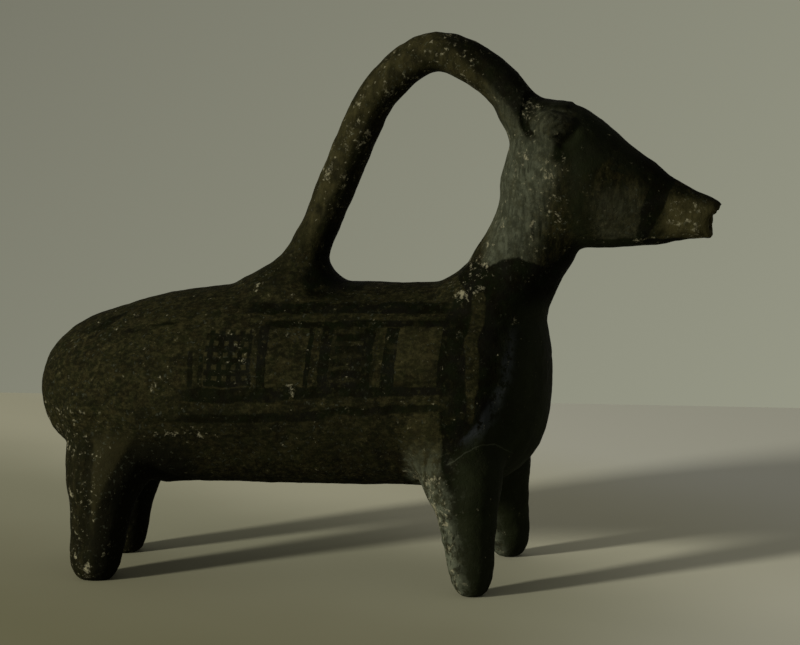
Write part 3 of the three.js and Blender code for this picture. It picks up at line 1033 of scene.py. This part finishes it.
    def stripe(self) -> Wire:
        """The bare stripe that was left between the last panel and the shoulder.

        Returns:
            The share of bare clay.
        """
        middle = self.bent(self.z, [(48, 33), (56, 33.2), (59, 33.3), (72.5, 32.6), (77, 33.6), (86, 33.6)])
        half = self.bent(self.z, [(48, 0.1), (52, 0.9), (56, 1), (59, 1.6), (77, 1.7), (83, 2), (86, 0.2)])
        bare = self.beyond(self.away(self.x, middle), self.sum(half, 0.2), -0.7)
        rubbed = self.sum(self.both(self.random(Grain.STRIPE_RUBS), 0.4), 0.6)
        return self.area(OPEN, (49.5, 84.5, 1.5), bare, rubbed)

    def shoulder(self) -> Wire:
        """The dark paint from the last panel forwards, over the chest, the collar and the front legs.

        Returns:
            The share of paint.
        """
        back = self.bent(self.z, [
            (-2, 32), (5, 31), (10, 29.6), (20, 27.6), (28, 25.8), (36, 24.2), (44, 24.6), (53, 24.2),
            (62, 24.4), (77, 24.2), (82, 26), (85, 29.5), (89, 25), (97, 22),
        ])
        back = self.sum(back, self.both(self.noise(5, 3), 3), -1.5)
        top = [(24, 91), (32, 92.2), (36, 91.6), (39, 93), (44, 94.4), (48, 93), (52, 91), (55, 93), (60, 99)]
        # Down the leg the paint is rubbed, so its edge is broad there
        rubbed = self.beyond(self.z, 34, -10, 3.4)
        wires = {
            "Value": self.sum(self.x, self.both(back, -1)),
            "From Min": self.sum(-0.4, self.both(rubbed, -0.5)),
            "From Max": self.sum(0.4, rubbed),
        }
        edge = self.add("ShaderNodeMapRange", wires, interpolation_type="SMOOTHSTEP")
        return self.area(OPEN, (None, top, 0.8), edge, self.without(self.stripe()))

    def head(self) -> Wire:
        """The dark crown and nose ridge, the painted shade down the throat, behind the ears and in the pits before
        them, the muzzle's band and the eyes.

        Returns:
            The share of paint and painted shade.
        """
        crown = [(56, 119.5), (62, 117), (66, 119), (72, 123.5)]
        ridge = [(64, 124), (70, 122), (77, 117), (84, 110.8), (90, 108.6), (100, 107)]
        band_back = [(95, 75.8), (98, 76.5), (103, 77.7), (107.7, 79.1), (113.6, 80.9), (118, 82)]
        band_front = [(95, 78.6), (98, 79.6), (101.9, 81.5), (107.4, 84.6), (110.9, 86), (118, 88.5)]
        above_ear = [(46, 135.8), (51, 135.2), (56, 135.6), (61, 134)]
        eye = self.bent(self.x, [(70, 119.9), (75.5, 117.9)])
        crevice = self.bent(self.z, [(127.5, 48.6), (130, 46), (134.5, 44.9), (139.5, 46.3)])
        return self.either(
            self.area((59.6, 70.5, 2.2), (crown, None, 3)),
            # The throat's shade
            self.area((58.5, 64.5, 7), (98, 122, 7), 0.8),
            self.area((66, 86, 4), (ridge, None, 3), 0.85),
            self.area((band_back, band_front, 0.8), OPEN, 0.95),
            self.area((70.7, 74.7, 0.9), OPEN, self.stroke(self.z, eye, 0.65, 0.6), 0.9),
            # Painted shade in the gap behind the ear, dark paint above it, and painted shade in the pit before it
            self.area(OPEN, (128, 141, 2), self.beyond(self.away(self.x, crevice), 1.7, -1.4)),
            self.area((46.5, 61, 2.5), (above_ear, None, 2.2), 0.85),
            self.area((54.6, 62.5, 2.2), (121.6, 129.4, 2.2)),
        )

    def handle_foot(self) -> Wire:
        """The dark paint that runs down from the front of the handle's foot, and the smear behind it.

        Returns:
            The share of paint.
        """
        back = [(80, -15.5), (86.6, -20), (92.6, -16.3), (97, -14.5), (104, -12)]
        front = [(80, -3), (82.8, -4.4), (86.4, 0.5), (90, -3), (104, 2)]
        below, behind = self.area((back, front, 3), (81.5, 101, 3)), self.area((-33, -24, 3), (84, 91.5, 4), 0.5)
        return self.either(below, behind)

    def handle(self) -> Wire:
        """The handle's dark slip in patches on top, with painted shade under its arch and on its outer side near the
        head.

        Returns:
            The share of dark slip and painted shade.
        """
        inner = [
            (-16.3, 99.3), (-12.1, 109.3), (-6.8, 119.2), (-1.6, 131.1), (3.6, 138.9), (11.7, 145.8),
            (20, 147.5), (27, 142),
        ]
        outer = [(20, 156.5), (25, 152), (33.8, 143.4), (41.6, 135.8), (45.4, 130.4), (47.4, 127)]
        paint = self.either(
            self.both(self.random(Grain.HANDLE_PATCHES), 0.75),
            # Painted shade under the arch and on the outer side near the head, which face away from the lamp
            self.area((None, 25, 6), (None, inner, 5)),
            self.area((20, None, 8), (outer, None, 3.5), 1.15),
        )
        on_roll = self.either(self.beyond(self.x, 32, -5), self.area((None, 48, 3), (131, None, 5)))
        return self.area(OPEN, (97, None, 8), paint, on_roll, 0.8)

    def painted(self, kinds: tuple[Paint, ...]) -> Wire:
        """All the paint of some kinds, worn through in places.

        Args:
            kinds: What is painted.

        Returns:
            The share of paint that is left.
        """
        paint = self.either(*[getattr(self, kind.value)() for kind in kinds])
        worn = self.either(self.random(Grain.WEAR), self.random(Grain.SCUFFS))
        # The flank wears more than the shoulder, and the lattice was spared
        exposed = self.both(self.beyond(self.x, 30, -8, 0.82), self.without(self.between(self.x, -44, -31, 2), 0.75))
        return self.both(paint, self.without(self.both(worn, self.sum(exposed, 0.18))))


@dataclass(frozen=True)
class ClayFinish:
    """Low-fired grey-brown earthenware, smoothed wet by hand, painted with dark slip and worn.

    Attributes:
        name: Name of the material.
        slot: The record's material slot. Not used.
        kinds: What is painted on it.
        ground: The clay's own colour.
        dark_clay_and_painted_shade: The clay's colour in its darker patches, and the painted shade under the belly
            and the rump and on the rear legs.
        dusted_and_highlight: The clay's colour where grit and lime show, also laid on as painted highlight on the
            rear legs' ridges and the handle's side towards the lamp.
        pale: The paler clay of the neck, the nape and the legs' rear halves.
        rust: The clay's colour where iron has stained it.
        moss: The clay's colour where it fired greener.
        slip: The dark paint.
        slip_green: The paint's colour where it is thinner.
        slip_violet: The paint's colour where it is rubbed.
        lime_colour: Lime left from the ground.
        painted_reflection_colour: A painted reflection, the pale streak down the shoulder.
        painted_fill_light_colour: Painted light, a paler slip on the chest, the legs' fronts and the crown, which
            face away from the lamp.
    """

    name: str
    slot: str
    kinds: tuple[Paint, ...]
    ground: str = "#17170A"
    dark_clay_and_painted_shade: str = "#0D0D06"
    dusted_and_highlight: str = "#37341F"
    pale: str = "#464A3D"
    rust: str = "#221C0D"
    moss: str = "#161A0A"
    slip: str = "#070701"
    slip_green: str = "#090D03"
    slip_violet: str = "#0E0D0A"
    lime_colour: str = "#7B7862"
    painted_reflection_colour: str = "#303438"
    painted_fill_light_colour: str = "#1F2315"

    # The line between a rear leg's lit back and its front, which is darkened with painted shade
    LEG_FRONT: ClassVar[Bends] = [(-2, -79), (12, -79), (20, -77.5), (30, -74), (40, -68), (48, -62)]
    CHEEK: ClassVar[tuple] = ((66, 79, 10), (92, 112.5, 10), 0.27)
    # Where lime gathers, as areas and their shares
    LIME: ClassVar[tuple] = (
        # The muzzle, the jaw, the lattice, the low band, the belly and the collar
        ((85, 96.5, 4), (None, 111, 3), 1.15),
        ((76, 84, 3), (None, 100, 3), 1.2),
        ((-44, -30.5, 1), (58, 74, 1), 0.45),
        ((-60, -54, 3), (56.5, 60.5, 2), 1.25),
        ((-59, -44, 4), (43, 47, 2)),
        ((24, 36, 6), (81, 95, 5)),
        # The front legs' backs, the rear legs' backs and their joint with the rump
        ((12, [(-2, 31), (8, 30), (20, 27.5), (36, 26)], 3), (None, 35, 5), 1.25),
        ((None, LEG_FRONT, 3), (None, 34, 8), 0.85),
        ((None, -78, 10), (36, 50, 6), 0.85),
        # Behind the ear, the neck, below the ear and the handle
        ((43.5, 50, 3), (119, 139, 4), 0.95),
        ((36, 57, 4), (95, 130, 4), 0.6),
        ((50, 60, 3), (117, 125, 4), 0.8),
        ((None, 34, 6), (105, None, 10), 0.7),
    )

    def material(self) -> bpy.types.Material:
        """Builds the material.

        Returns:
            The finished material.
        """
        clay = ClayPainter(self.name)
        # The surface was wiped lengthwise on the body and downwards on the neck, the handle and the legs
        lengthwise = clay.add("ShaderNodeVectorMath", {0: clay.place, 1: (0.6, 1, 1)}, operation="MULTIPLY")
        downwards = clay.add("ShaderNodeVectorMath", {0: clay.place, 1: (1, 1, 0.3)}, operation="MULTIPLY")
        wires = {
            "Value": clay.either(clay.beyond(clay.z, 93, 8), clay.beyond(clay.z, 38, -10)),
            "To Min": clay.noise(1.2, 4, lengthwise, 0.62),
            "To Max": clay.noise(1.5, 4, downwards, 0.65),
        }
        wiped = clay.add("ShaderNodeMapRange", wires)
        colour = self.fired(clay, wiped)
        colour = self.rubbed(clay, colour, wiped, downwards)
        colour = self.painted_shade_and_highlight(clay, colour)
        paint = clay.painted(self.kinds)
        colour = self.slipped(clay, colour, paint)
        lime = self.limed(clay)
        self.shade(clay, clay.coat(colour, (lime, self.lime_colour)), paint, lime)
        return clay.material

    def fired(self, clay: ClayPainter, wiped: Wire) -> Wire:
        """Uneven firing and handling: broad patches, then grit the size of coarse sand.

        Args:
            clay: The node tree's builder.
            wiped: The marks of wiping, from 0 to 1.

        Returns:
            The clay's colour.
        """
        grit = clay.both(clay.random(Grain.GRIT), clay.sum(clay.both(clay.random(Grain.CLUMPS), 0.6), 0.12))
        return clay.coat(
            self.dark_clay_and_painted_shade,
            (clay.random(Grain.FIRING), self.ground),
            (clay.random(Grain.MOSS), self.moss),
            (clay.random(Grain.RUST), self.rust),
            (clay.beyond(wiped, 0.57, 0.24, 0.36), self.dusted_and_highlight),
            (clay.beyond(wiped, 0.43, -0.14, 0.55), self.dark_clay_and_painted_shade),
            (grit, self.dusted_and_highlight),
            (clay.random(Grain.PITS), self.dark_clay_and_painted_shade),
        )

    def rubbed(self, clay: ClayPainter, colour: Wire, wiped: Wire, downwards: Wire) -> Wire:
        """Lays on the areas of paler clay, and those that are rubbed down to the grit, with painted light on the
        handle's side towards the lamp.

        Args:
            clay: The node tree's builder.
            colour: The clay's colour.
            wiped: The marks of wiping, from 0 to 1.
            downwards: Places drawn out downwards.

        Returns:
            The new colour.
        """
        # The bare neck and nape, the cheeks and the legs' rear halves are a paler and greyer clay
        neck_front = clay.bent(clay.z, [(88, 47), (99, 50), (112, 54), (124, 57.5), (132, 60)])
        # Towards the throat the pale fades out softly, as painted shade on the neck's front, which faces away from
        # the lamp
        neck_side = clay.beyond(clay.x, clay.sum(neck_front, -2), -12)
        above_nape = clay.bent(clay.z, [(88, 0.66), (120, 0.68), (126, 0.5), (131, 0.36), (142, 0.3)])
        neck = clay.area((34, 62, 4), (90.5, None, 3), neck_side, above_nape)
        leg_back = clay.bent(clay.z, [(-2, 13), (26, 12.5), (34, 11.5), (42, 12.5)])
        up_leg = clay.bent(clay.z, [(-2, 1.2), (12, 1.5), (19, 1.4), (28, 1.2), (34, 0.6), (42, 0.1), (46, 0)])
        flaked = clay.sum(clay.random(Grain.FLAKED), 0.2)
        legs = clay.area((leg_back, None, 2.6), (None, 44, 3), up_leg, flaked)
        cheek = clay.area(*self.CHEEK)
        mottle = clay.both(clay.beyond(wiped, 0.46, 0.3, 0.75), clay.random(Grain.MOTTLE))
        pale = clay.both(clay.either(neck, legs, cheek), clay.sum(mottle, 0.45))
        # The pale patch where the belly meets the front leg
        patch_high = [(11, 42), (15, 50.6), (20, 52), (24.5, 50)]
        patch = clay.area((12, 24, 1.6), (None, patch_high, 1.4), 0.13)
        # The muzzle, the handle's outer side, the stripe and two panels are rubbed down to the grit; on the handle
        # this paler clay is also painted light, on its side towards the lamp
        muzzle_high = [(84, 112), (92, 110), (101, 108)]
        lips = clay.beyond(clay.x, 99, -3, 0.5)
        bare = clay.either(
            clay.area((84.5, None, 4), (None, muzzle_high, 3), lips, 2.2),
            clay.both(cheek, 0.7),
            # The handle: rubbed clay, and painted light on its side towards the lamp
            clay.area((None, 36, 6), (99, None, 12), 0.55),
            clay.area((-44.4, -30.4, 1), (58.2, 73.6, 1), 0.55),
            clay.area((10.5, 22.5, 3), (63, 75, 5), 0.24),
            clay.both(clay.stripe(), 0.08),
        )
        return clay.coat(
            colour,
            (patch, self.dusted_and_highlight),
            (pale, self.pale),
            (clay.both(clay.random(Grain.NICKS, downwards), pale, 0.75), self.dark_clay_and_painted_shade),
            (clay.both(bare, clay.sum(clay.beyond(wiped, 0.5, 0.34, 0.5), 0.45)), self.dusted_and_highlight),
        )

    def painted_shade_and_highlight(self, clay: ClayPainter, colour: Wire) -> Wire:
        """Lays on painted shade under the belly and the rump, in the rear legs' grooves and on their fronts, and a
        painted highlight on each groove's ridge.

        Args:
            clay: The node tree's builder.
            colour: The clay's colour.

        Returns:
            The new colour.
        """
        leg_front = clay.bent(clay.z, self.LEG_FRONT)
        groove = clay.away(clay.x, clay.bent(clay.z, [(8, -81), (25, -80.4), (38, -79), (44, -78)]))
        # Painted shade under the belly, under the rump round the rear legs, and in the rear legs' grooves
        painted_shade = clay.either(
            clay.area((-66, 11.5, 4), (39, 53, 8), 0.3),
            clay.area((None, -52, 8), (None, 42, 12), 0.5),
            clay.area(OPEN, (10, 37, 9), clay.beyond(groove, 1.3, -1.6), 0.75),
        )
        ridge_back, ridge_front = clay.beyond(clay.x, -78.6, 1.2), clay.beyond(clay.x, leg_front, -2)
        # A painted highlight on the ridge beside each groove, then painted shade on the rear legs' fronts, which
        # face away from the lamp
        return clay.coat(
            colour,
            (clay.area(OPEN, (17, 42, 8), ridge_back, ridge_front, 0.5), self.dusted_and_highlight),
            (painted_shade, self.dark_clay_and_painted_shade),
            (clay.area((None, -50, 12), (None, 42, 8), clay.beyond(clay.x, leg_front, 2.5), 0.9), self.dark_clay_and_painted_shade),
        )

    def slipped(self, clay: ClayPainter, colour: Wire, paint: Wire) -> Wire:
        """Lays on the dark slip, brushed on in coarse strokes and rubbed since, with dust, painted fill light on the
        chest, the legs' fronts and the crown, and a painted reflection down the shoulder.

        Args:
            clay: The node tree's builder.
            colour: The clay's colour.
            paint: Share of slip.

        Returns:
            The new colour.
        """
        thin, worn = clay.random(Grain.THIN_SLIP), clay.random(Grain.RUBBED_SLIP)
        slip = clay.coat(self.slip, (thin, self.slip_green), (worn, self.slip_violet))
        dust = clay.both(clay.random(Grain.DUST), clay.random(Grain.DUST_CLOUDS), clay.without(paint, 0.6))
        # A painted reflection: a pale streak down the shoulder, where the lamp would shine back from the slip
        reflection_offset = clay.away(clay.x, clay.bent(clay.z, [(43, 32), (46, 34.6), (50, 37.6), (61, 42.4), (74, 43.4)]))
        reach = clay.bent(clay.z, [(44, 2.6), (50, 1.9), (58, 1.4), (76, 0.9)])
        reflection_breaks = clay.random(Grain.PAINTED_REFLECTION_BREAKS)
        # Painted light: the slip on the chest, the legs' fronts and the crown, which face away from the lamp, is
        # lightened as if by a fill light
        fill_light_back = [(-2, 28), (40, 29), (50, 39), (66, 42), (90, 44)]
        painted_fill_light = clay.either(clay.area((fill_light_back, None, 7), (None, 80, 10)), clay.area((59, 77, 5), OPEN, 0.72))
        # A fibre's pale print across the top of the leg
        hair_line = [(25.6, 37.4), (30.5, 40.4), (35.6, 42.8), (38.5, 42.2), (42.4, 38.6)]
        hair = clay.away(clay.z, clay.bent(clay.x, hair_line))
        near_side = clay.beyond(clay.y, 0, -1)
        return clay.coat(
            colour,
            (paint, slip),
            (dust, self.pale),
            (clay.area(OPEN, (44, 73, 7), clay.beyond(reflection_offset, reach, -2.2), reflection_breaks, 0.72), self.painted_reflection_colour),
            (clay.both(paint, painted_fill_light, clay.sum(clay.noise(9, 3), 0.15), 0.9), self.painted_fill_light_colour),
            (clay.area((26, 42, 1), OPEN, clay.beyond(hair, 0.16, -0.2), near_side, 0.34), self.pale),
        )

    def limed(self, clay: ClayPainter) -> Wire:
        """Lime left from the ground, in fine specks and coarser crumbs.

        Args:
            clay: The node tree's builder.

        Returns:
            The share of lime.
        """
        gathered = clay.either(*[clay.area(*area) for area in self.LIME])
        level = clay.sum(clay.both(gathered, -0.085), 0.722)
        specks = clay.beyond(clay.noise(1.5, 4, roughness=0.65), level, 0.12, 0.65)
        crumbs = clay.beyond(clay.noise(3.4, 5, roughness=0.68), clay.sum(level, -0.01), 0.12, 0.85)
        return clay.either(specks, crumbs)

    def shade(self, clay: ClayPainter, colour: Wire, paint: Wire, lime: Wire) -> None:
        """Wires colour, gloss and relief to the shader.

        Args:
            clay: The node tree's builder.
            colour: The surface colour.
            paint: Share of slip.
            lime: Share of lime.
        """
        # Bare clay is dull, rubbed slip has a faint satin gloss, and lime is chalky
        mottled = clay.both(clay.noise(4, 3), 0.14)
        roughness = clay.sum(mottled, clay.both(paint, -0.14), clay.both(lime, 0.06), 0.8)
        coarse, pores = clay.noise(1.3, 4, roughness=0.65), clay.random(Grain.PORES)
        relief = clay.sum(coarse, clay.both(pores, 0.35), clay.both(lime, 0.5), clay.both(paint, -0.08))
        bump = clay.add("ShaderNodeBump", {"Strength": 1, "Distance": 0.16 * MM, "Height": relief})
        wires = {"Base Color": colour, "Roughness": roughness, "Normal": bump}
        shader = clay.add("ShaderNodeBsdfPrincipled", wires | {"IOR": 1.5, "Specular IOR Level": 0.025})
        clay.add("ShaderNodeOutputMaterial", {"Surface": shader})


# The pieces


def finish_piece(piece: bpy.types.Object, node: str, finish: bpy.types.Material) -> None:
    """Dresses a piece and ties it to the frame.

    Args:
        piece: The piece.
        node: The CAD node that it stands for.
        finish: Its material.
    """
    piece.data.materials.clear()
    piece.data.materials.append(finish)
    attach(piece, BODY)
    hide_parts(node)
    LOG.info("%s: %d faces in %s", piece.name, len(piece.data.polygons), finish.name)


@dataclass
class SubAssembly:
    """A group of pieces that share their finishes."""

    skin: ClaySkin

    def add(self, name: str, node: str, piece: bpy.types.Object, finish: ClayFinish) -> None:
        """Names a piece and dresses it.

        Args:
            name: Name of the piece.
            node: The CAD node that it stands for.
            piece: The piece.
            finish: Its finish.
        """
        piece.name = name
        piece.data.name = name
        self.tidy(piece)
        self.skin.heal_seams(piece)
        material = bpy.data.materials.get(finish.name) or finish.material()
        finish_piece(piece, node, material)

    @staticmethod
    def tidy(piece: bpy.types.Object) -> None:
        """Closes and triangulates a piece after its cuts, and drops its crumbs.

        Args:
            piece: The piece.
        """
        clean = bmesh.new()
        clean.from_mesh(piece.data)
        drop_crumbs(clean, CRUMB)
        bmesh.ops.triangulate(clean, faces=[face for face in clean.faces if len(face.verts) > 4])
        close_up(clean)
        drop_crumbs(clean, CRUMB)
        clean.to_mesh(piece.data)
        clean.free()

    def take(self, node: str, reach: float, finish: ClayFinish) -> None:
        """Parts the clay round a node from the skin and dresses it.

        Args:
            node: The CAD node.
            reach: How far round the node the piece reaches.
            finish: The piece's finish.
        """
        self.add(f"clay_{node}", node, self.skin.part_node(node, reach), finish)


BODY_KINDS = (Paint.RUMP_DASHES, Paint.LATTICE, Paint.PANELS, Paint.BANDS, Paint.SHOULDER, Paint.HANDLE_FOOT)
PAINTED_BODY = ClayFinish("painted_earthenware_body", "painted_clay", BODY_KINDS)
BARE_LEGS = ClayFinish("bare_earthenware_legs", "bare_clay", BODY_KINDS)
HEAD_KINDS = (Paint.SHOULDER, Paint.HEAD, Paint.HANDLE)
PAINTED_HEAD = ClayFinish("painted_earthenware_head", "painted_clay", HEAD_KINDS)
BARE_NECK = ClayFinish("bare_earthenware_neck", "bare_clay", HEAD_KINDS)
HANDLE_KINDS = (Paint.HANDLE, Paint.HANDLE_FOOT, Paint.HEAD, Paint.BANDS)
HANDLE_CLAY = ClayFinish("worn_earthenware_handle", "painted_clay", HANDLE_KINDS)


@dataclass
class Legs(SubAssembly):
    """Four solid pegs and the clay smeared round their tops."""

    pad_reach: float = 1.5 * MM
    leg_reach: float = 3.0 * MM

    def build(self) -> None:
        """Parts the pads first, because they ring the legs."""
        for place in ("front_left", "front_right", "rear_left", "rear_right"):
            self.take(f"pad_{place}", self.pad_reach, BARE_LEGS)
            self.take(f"leg_{place}", self.leg_reach, BARE_LEGS)


@dataclass
class BasketHandle(SubAssembly):
    """The roll of clay from the back to the crown, with its two smeared roots."""

    root_reach: float = 1.5 * MM
    roll_reach: float = 3.0 * MM

    def build(self) -> None:
        """Parts the roots first, because they ring the roll."""
        self.take("handle_back_root", self.root_reach, HANDLE_CLAY)
        self.take("handle_head_root", self.root_reach, PAINTED_HEAD)
        self.take("handle", self.roll_reach, HANDLE_CLAY)


@dataclass
class NeckAndHead(SubAssembly):
    """The neck with its collar, and the long head with its ears and open mouth."""

    ear_reach: float = 1.2 * MM
    neck_reach: float = 1.5 * MM
    muzzle_joint_x_mm: float = 82.25
    nape_x_mm: float = 20.0
    jaw_z_mm: float = 90.0
    # A corner well past the head
    far_mm: tuple[float, float, float] = (120.0, 30.0, 180.0)

    def build(self) -> None:
        """Parts the ears, the collar and the neck, and then the head in two."""
        for side in ("left", "right"):
            self.take(f"ear_{side}", self.ear_reach, PAINTED_HEAD)
        self.take("neck_collar", self.neck_reach, PAINTED_BODY)
        self.take("neck", self.neck_reach, BARE_NECK)
        low_y_mm = -self.far_mm[1]
        beyond_joint = block((self.muzzle_joint_x_mm, low_y_mm, self.jaw_z_mm), self.far_mm)
        self.add("clay_muzzle", "muzzle", self.skin.part("muzzle_cut", beyond_joint), BARE_NECK)
        above_body = block((self.nape_x_mm, low_y_mm, self.jaw_z_mm), self.far_mm)
        self.add("clay_skull", "skull", self.skin.part("skull_cut", above_body), PAINTED_HEAD)


@dataclass
class Body(SubAssembly):
    """The hollow tube of the body, closed by the rump and the chest."""

    rump_joint_x_mm: float = -66.5
    chest_joint_x_mm: float = 39.5
    # Two corners well past the body
    near_mm: tuple[float, float, float] = (-120.0, -50.0, -20.0)
    far_mm: tuple[float, float, float] = (120.0, 50.0, 120.0)

    def build(self) -> None:
        """Parts the two ends, and keeps what is left as the barrel."""
        rump = block(self.near_mm, (self.rump_joint_x_mm, *self.far_mm[1:]))
        self.add("clay_rump_dome", "rump_dome", self.skin.part("rump_cut", rump), PAINTED_BODY)
        chest = block((self.chest_joint_x_mm, *self.near_mm[1:]), self.far_mm)
        self.add("clay_chest_dome", "chest_dome", self.skin.part("chest_cut", chest), PAINTED_BODY)
        self.add("clay_barrel", "barrel", self.skin.shape, PAINTED_BODY)


# The studio


@dataclass
class Studio:
    """The camera of the photograph, a plain floor and soft light from low on the left."""

    azimuth: float = 12.5
    elevation: float = 8.5
    roll: float = -1.0
    distance: float = 1200.0 * MM
    target: tuple[float, float, float] = (7.0 * MM, 0.0, 73.2 * MM)
    lens_mm: float = 188.2
    sensor_mm: float = 36.0
    clip_start: float = 50.0 * MM
    table_end: float = 293.0 * MM
    floor_side: float = 4.0
    # From the near left to the far right, and where each colour takes over, in millimetres
    floor_colours: tuple[str, ...] = ("#74735A", "#82816A", "#95957F", "#BFBEA8", "#CFD0C4")
    floor_steps: tuple[float, ...] = (-90.0, -30.0, 40.0, 140.0)
    # The wall is a little darker at its upper left
    wall_colours: tuple[str, ...] = ("#79796B", "#9B9C8A")
    wall_slope: tuple[float, float, float] = (2.64, 0.10, -3.16)
    ambient_colour: str = "#FFFBF0"
    ambient: float = 0.235
    key_colour: str = "#FFFAEC"
    key_power: float = 16.6
    key_distance: float = 1.2
    key_size: float = 0.15
    key_turn: float = 59.0
    key_height: float = 14.0
    key_target: tuple[float, float, float] = (0.0, 0.0, 70.0 * MM)

    def build(self) -> None:
        """Makes the camera, the floor, the lamp and the world."""
        self.camera()
        self.floor()
        self.key()
        self.world()
        bpy.context.scene.view_settings.view_transform = "Standard"

    @staticmethod
    def towards(turn: float, rise: float) -> Vector:
        """A direction seen from the vessel.

        Args:
            turn: Its turn from the right flank towards the nose, in degrees.
            rise: Its height over the floor, in degrees.

        Returns:
            The direction, of length 1.
        """
        turn, rise = math.radians(turn), math.radians(rise)
        return Vector((math.sin(turn) * math.cos(rise), -math.cos(turn) * math.cos(rise), math.sin(rise)))

    def camera(self) -> None:
        """Makes the camera of the photograph."""
        turn, tilt = math.radians(self.azimuth), math.radians(self.roll)
        back = self.towards(self.azimuth, self.elevation)
        level_right = Vector((math.cos(turn), math.sin(turn), 0))
        level_up = back.cross(level_right)
        right = math.cos(tilt) * level_right + math.sin(tilt) * level_up
        up = -math.sin(tilt) * level_right + math.cos(tilt) * level_up
        camera = bpy.data.objects.new("camera", bpy.data.cameras.new("camera"))
        camera.data.lens = self.lens_mm
        camera.data.sensor_width = self.sensor_mm
        camera.data.clip_start = self.clip_start
        turned = Matrix((right, up, back)).transposed().to_4x4()
        camera.matrix_world = Matrix.Translation(Vector(self.target) + back * self.distance) @ turned
        bpy.context.scene.collection.objects.link(camera)
        bpy.context.scene.camera = camera

    def floor(self) -> None:
        """Makes a plain table that ends a little behind the vessel."""
        table = bmesh.new()
        bmesh.ops.create_grid(table, x_segments=1, y_segments=1, size=self.floor_side / 2)
        bmesh.ops.translate(table, vec=(0, self.table_end - self.floor_side / 2, 0), verts=table.verts)
        thing = make_object("table", table)
        # Matt paper on a table, graded from darker at the near left to paler at the far right, with a faint
        # cloudiness
        paper = ClayPainter("matt_table_paper")
        wires = {0: paper.place, 1: (0.6, 0.8, 0)}
        along = paper.add("ShaderNodeVectorMath", wires, "Value", operation="DOT_PRODUCT")
        cloud = paper.sum(along, paper.both(paper.noise(90), 30), -15)
        steps = [(paper.beyond(cloud, step, 80), c) for step, c in zip(self.floor_steps, self.floor_colours[1:])]
        across, deep, _ = paper.add("ShaderNodeSeparateXYZ", {0: paper.place}).node.outputs
        # Painted light: the near right, over the edge of the vessel's shadow, is lightened to be as pale as the far
        # right
        near = paper.sum(paper.both(paper.beyond(deep, 60, -200), 0.42), 0.22)
        painted_light_near_right = paper.both(paper.beyond(across, 95, 120), near)
        colour = paper.coat(self.floor_colours[0], *steps, (painted_light_near_right, self.floor_colours[-1]))
        wires = {"Base Color": colour, "Roughness": 0.9, "Specular IOR Level": 0.1}
        shader = paper.add("ShaderNodeBsdfPrincipled", wires)
        paper.add("ShaderNodeOutputMaterial", {"Surface": shader})
        thing.data.materials.append(paper.material)

    def key(self) -> None:
        """Makes a soft lamp, low on the left and a little towards the camera."""
        towards = self.towards(self.azimuth - self.key_turn, self.key_height)
        lamp = bpy.data.lights.new("soft_window", "AREA")
        lamp.shape = "DISK"
        lamp.size = self.key_size
        lamp.energy = self.key_power
        lamp.color = linear(self.key_colour)[:3]
        thing = bpy.data.objects.new("soft_window", lamp)
        turned = towards.to_track_quat("Z", "Y").to_matrix().to_4x4()
        thing.matrix_world = Matrix.Translation(Vector(self.key_target) + towards * self.key_distance) @ turned
        bpy.context.scene.collection.objects.link(thing)

    def world(self) -> None:
        """Makes even light from all round, with a plain wall behind for the camera."""
        world = bpy.data.worlds.new("studio")
        bpy.context.scene.world = world
        world.use_nodes = True
        sky = NodeBuilder(world.node_tree)
        wires = {"Color": linear(self.ambient_colour), "Strength": self.ambient}
        light = sky.add("ShaderNodeBackground", wires)
        where = sky.add("ShaderNodeTexCoord", {}, "Generated")
        slope = sky.add("ShaderNodeVectorMath", {0: where, 1: self.wall_slope}, "Value", operation="DOT_PRODUCT")
        share = sky.add("ShaderNodeMapRange", {"Value": slope, "From Min": -0.5, "From Max": 0.5})
        shade = sky.add("ShaderNodeValToRGB", {"Fac": share})
        for element, colour in zip(shade.node.color_ramp.elements, self.wall_colours):
            element.color = linear(colour)
        wall = sky.add("ShaderNodeBackground", {"Color": shade})
        seen = sky.add("ShaderNodeLightPath", {}, "Is Camera Ray")
        sky.add("ShaderNodeOutputWorld", {0: sky.add("ShaderNodeMixShader", {0: seen, 1: light, 2: wall})})


def main() -> None:
    """Builds the vessel and its studio."""
    logging.basicConfig(level=logging.INFO, format="%(name)s: %(message)s")
    skin = ClaySkin()
    skin.build()
    for part in (Legs, BasketHandle, NeckAndHead, Body):
        part(skin).build()
    Studio().build()


if __name__ == "__main__":
    main()
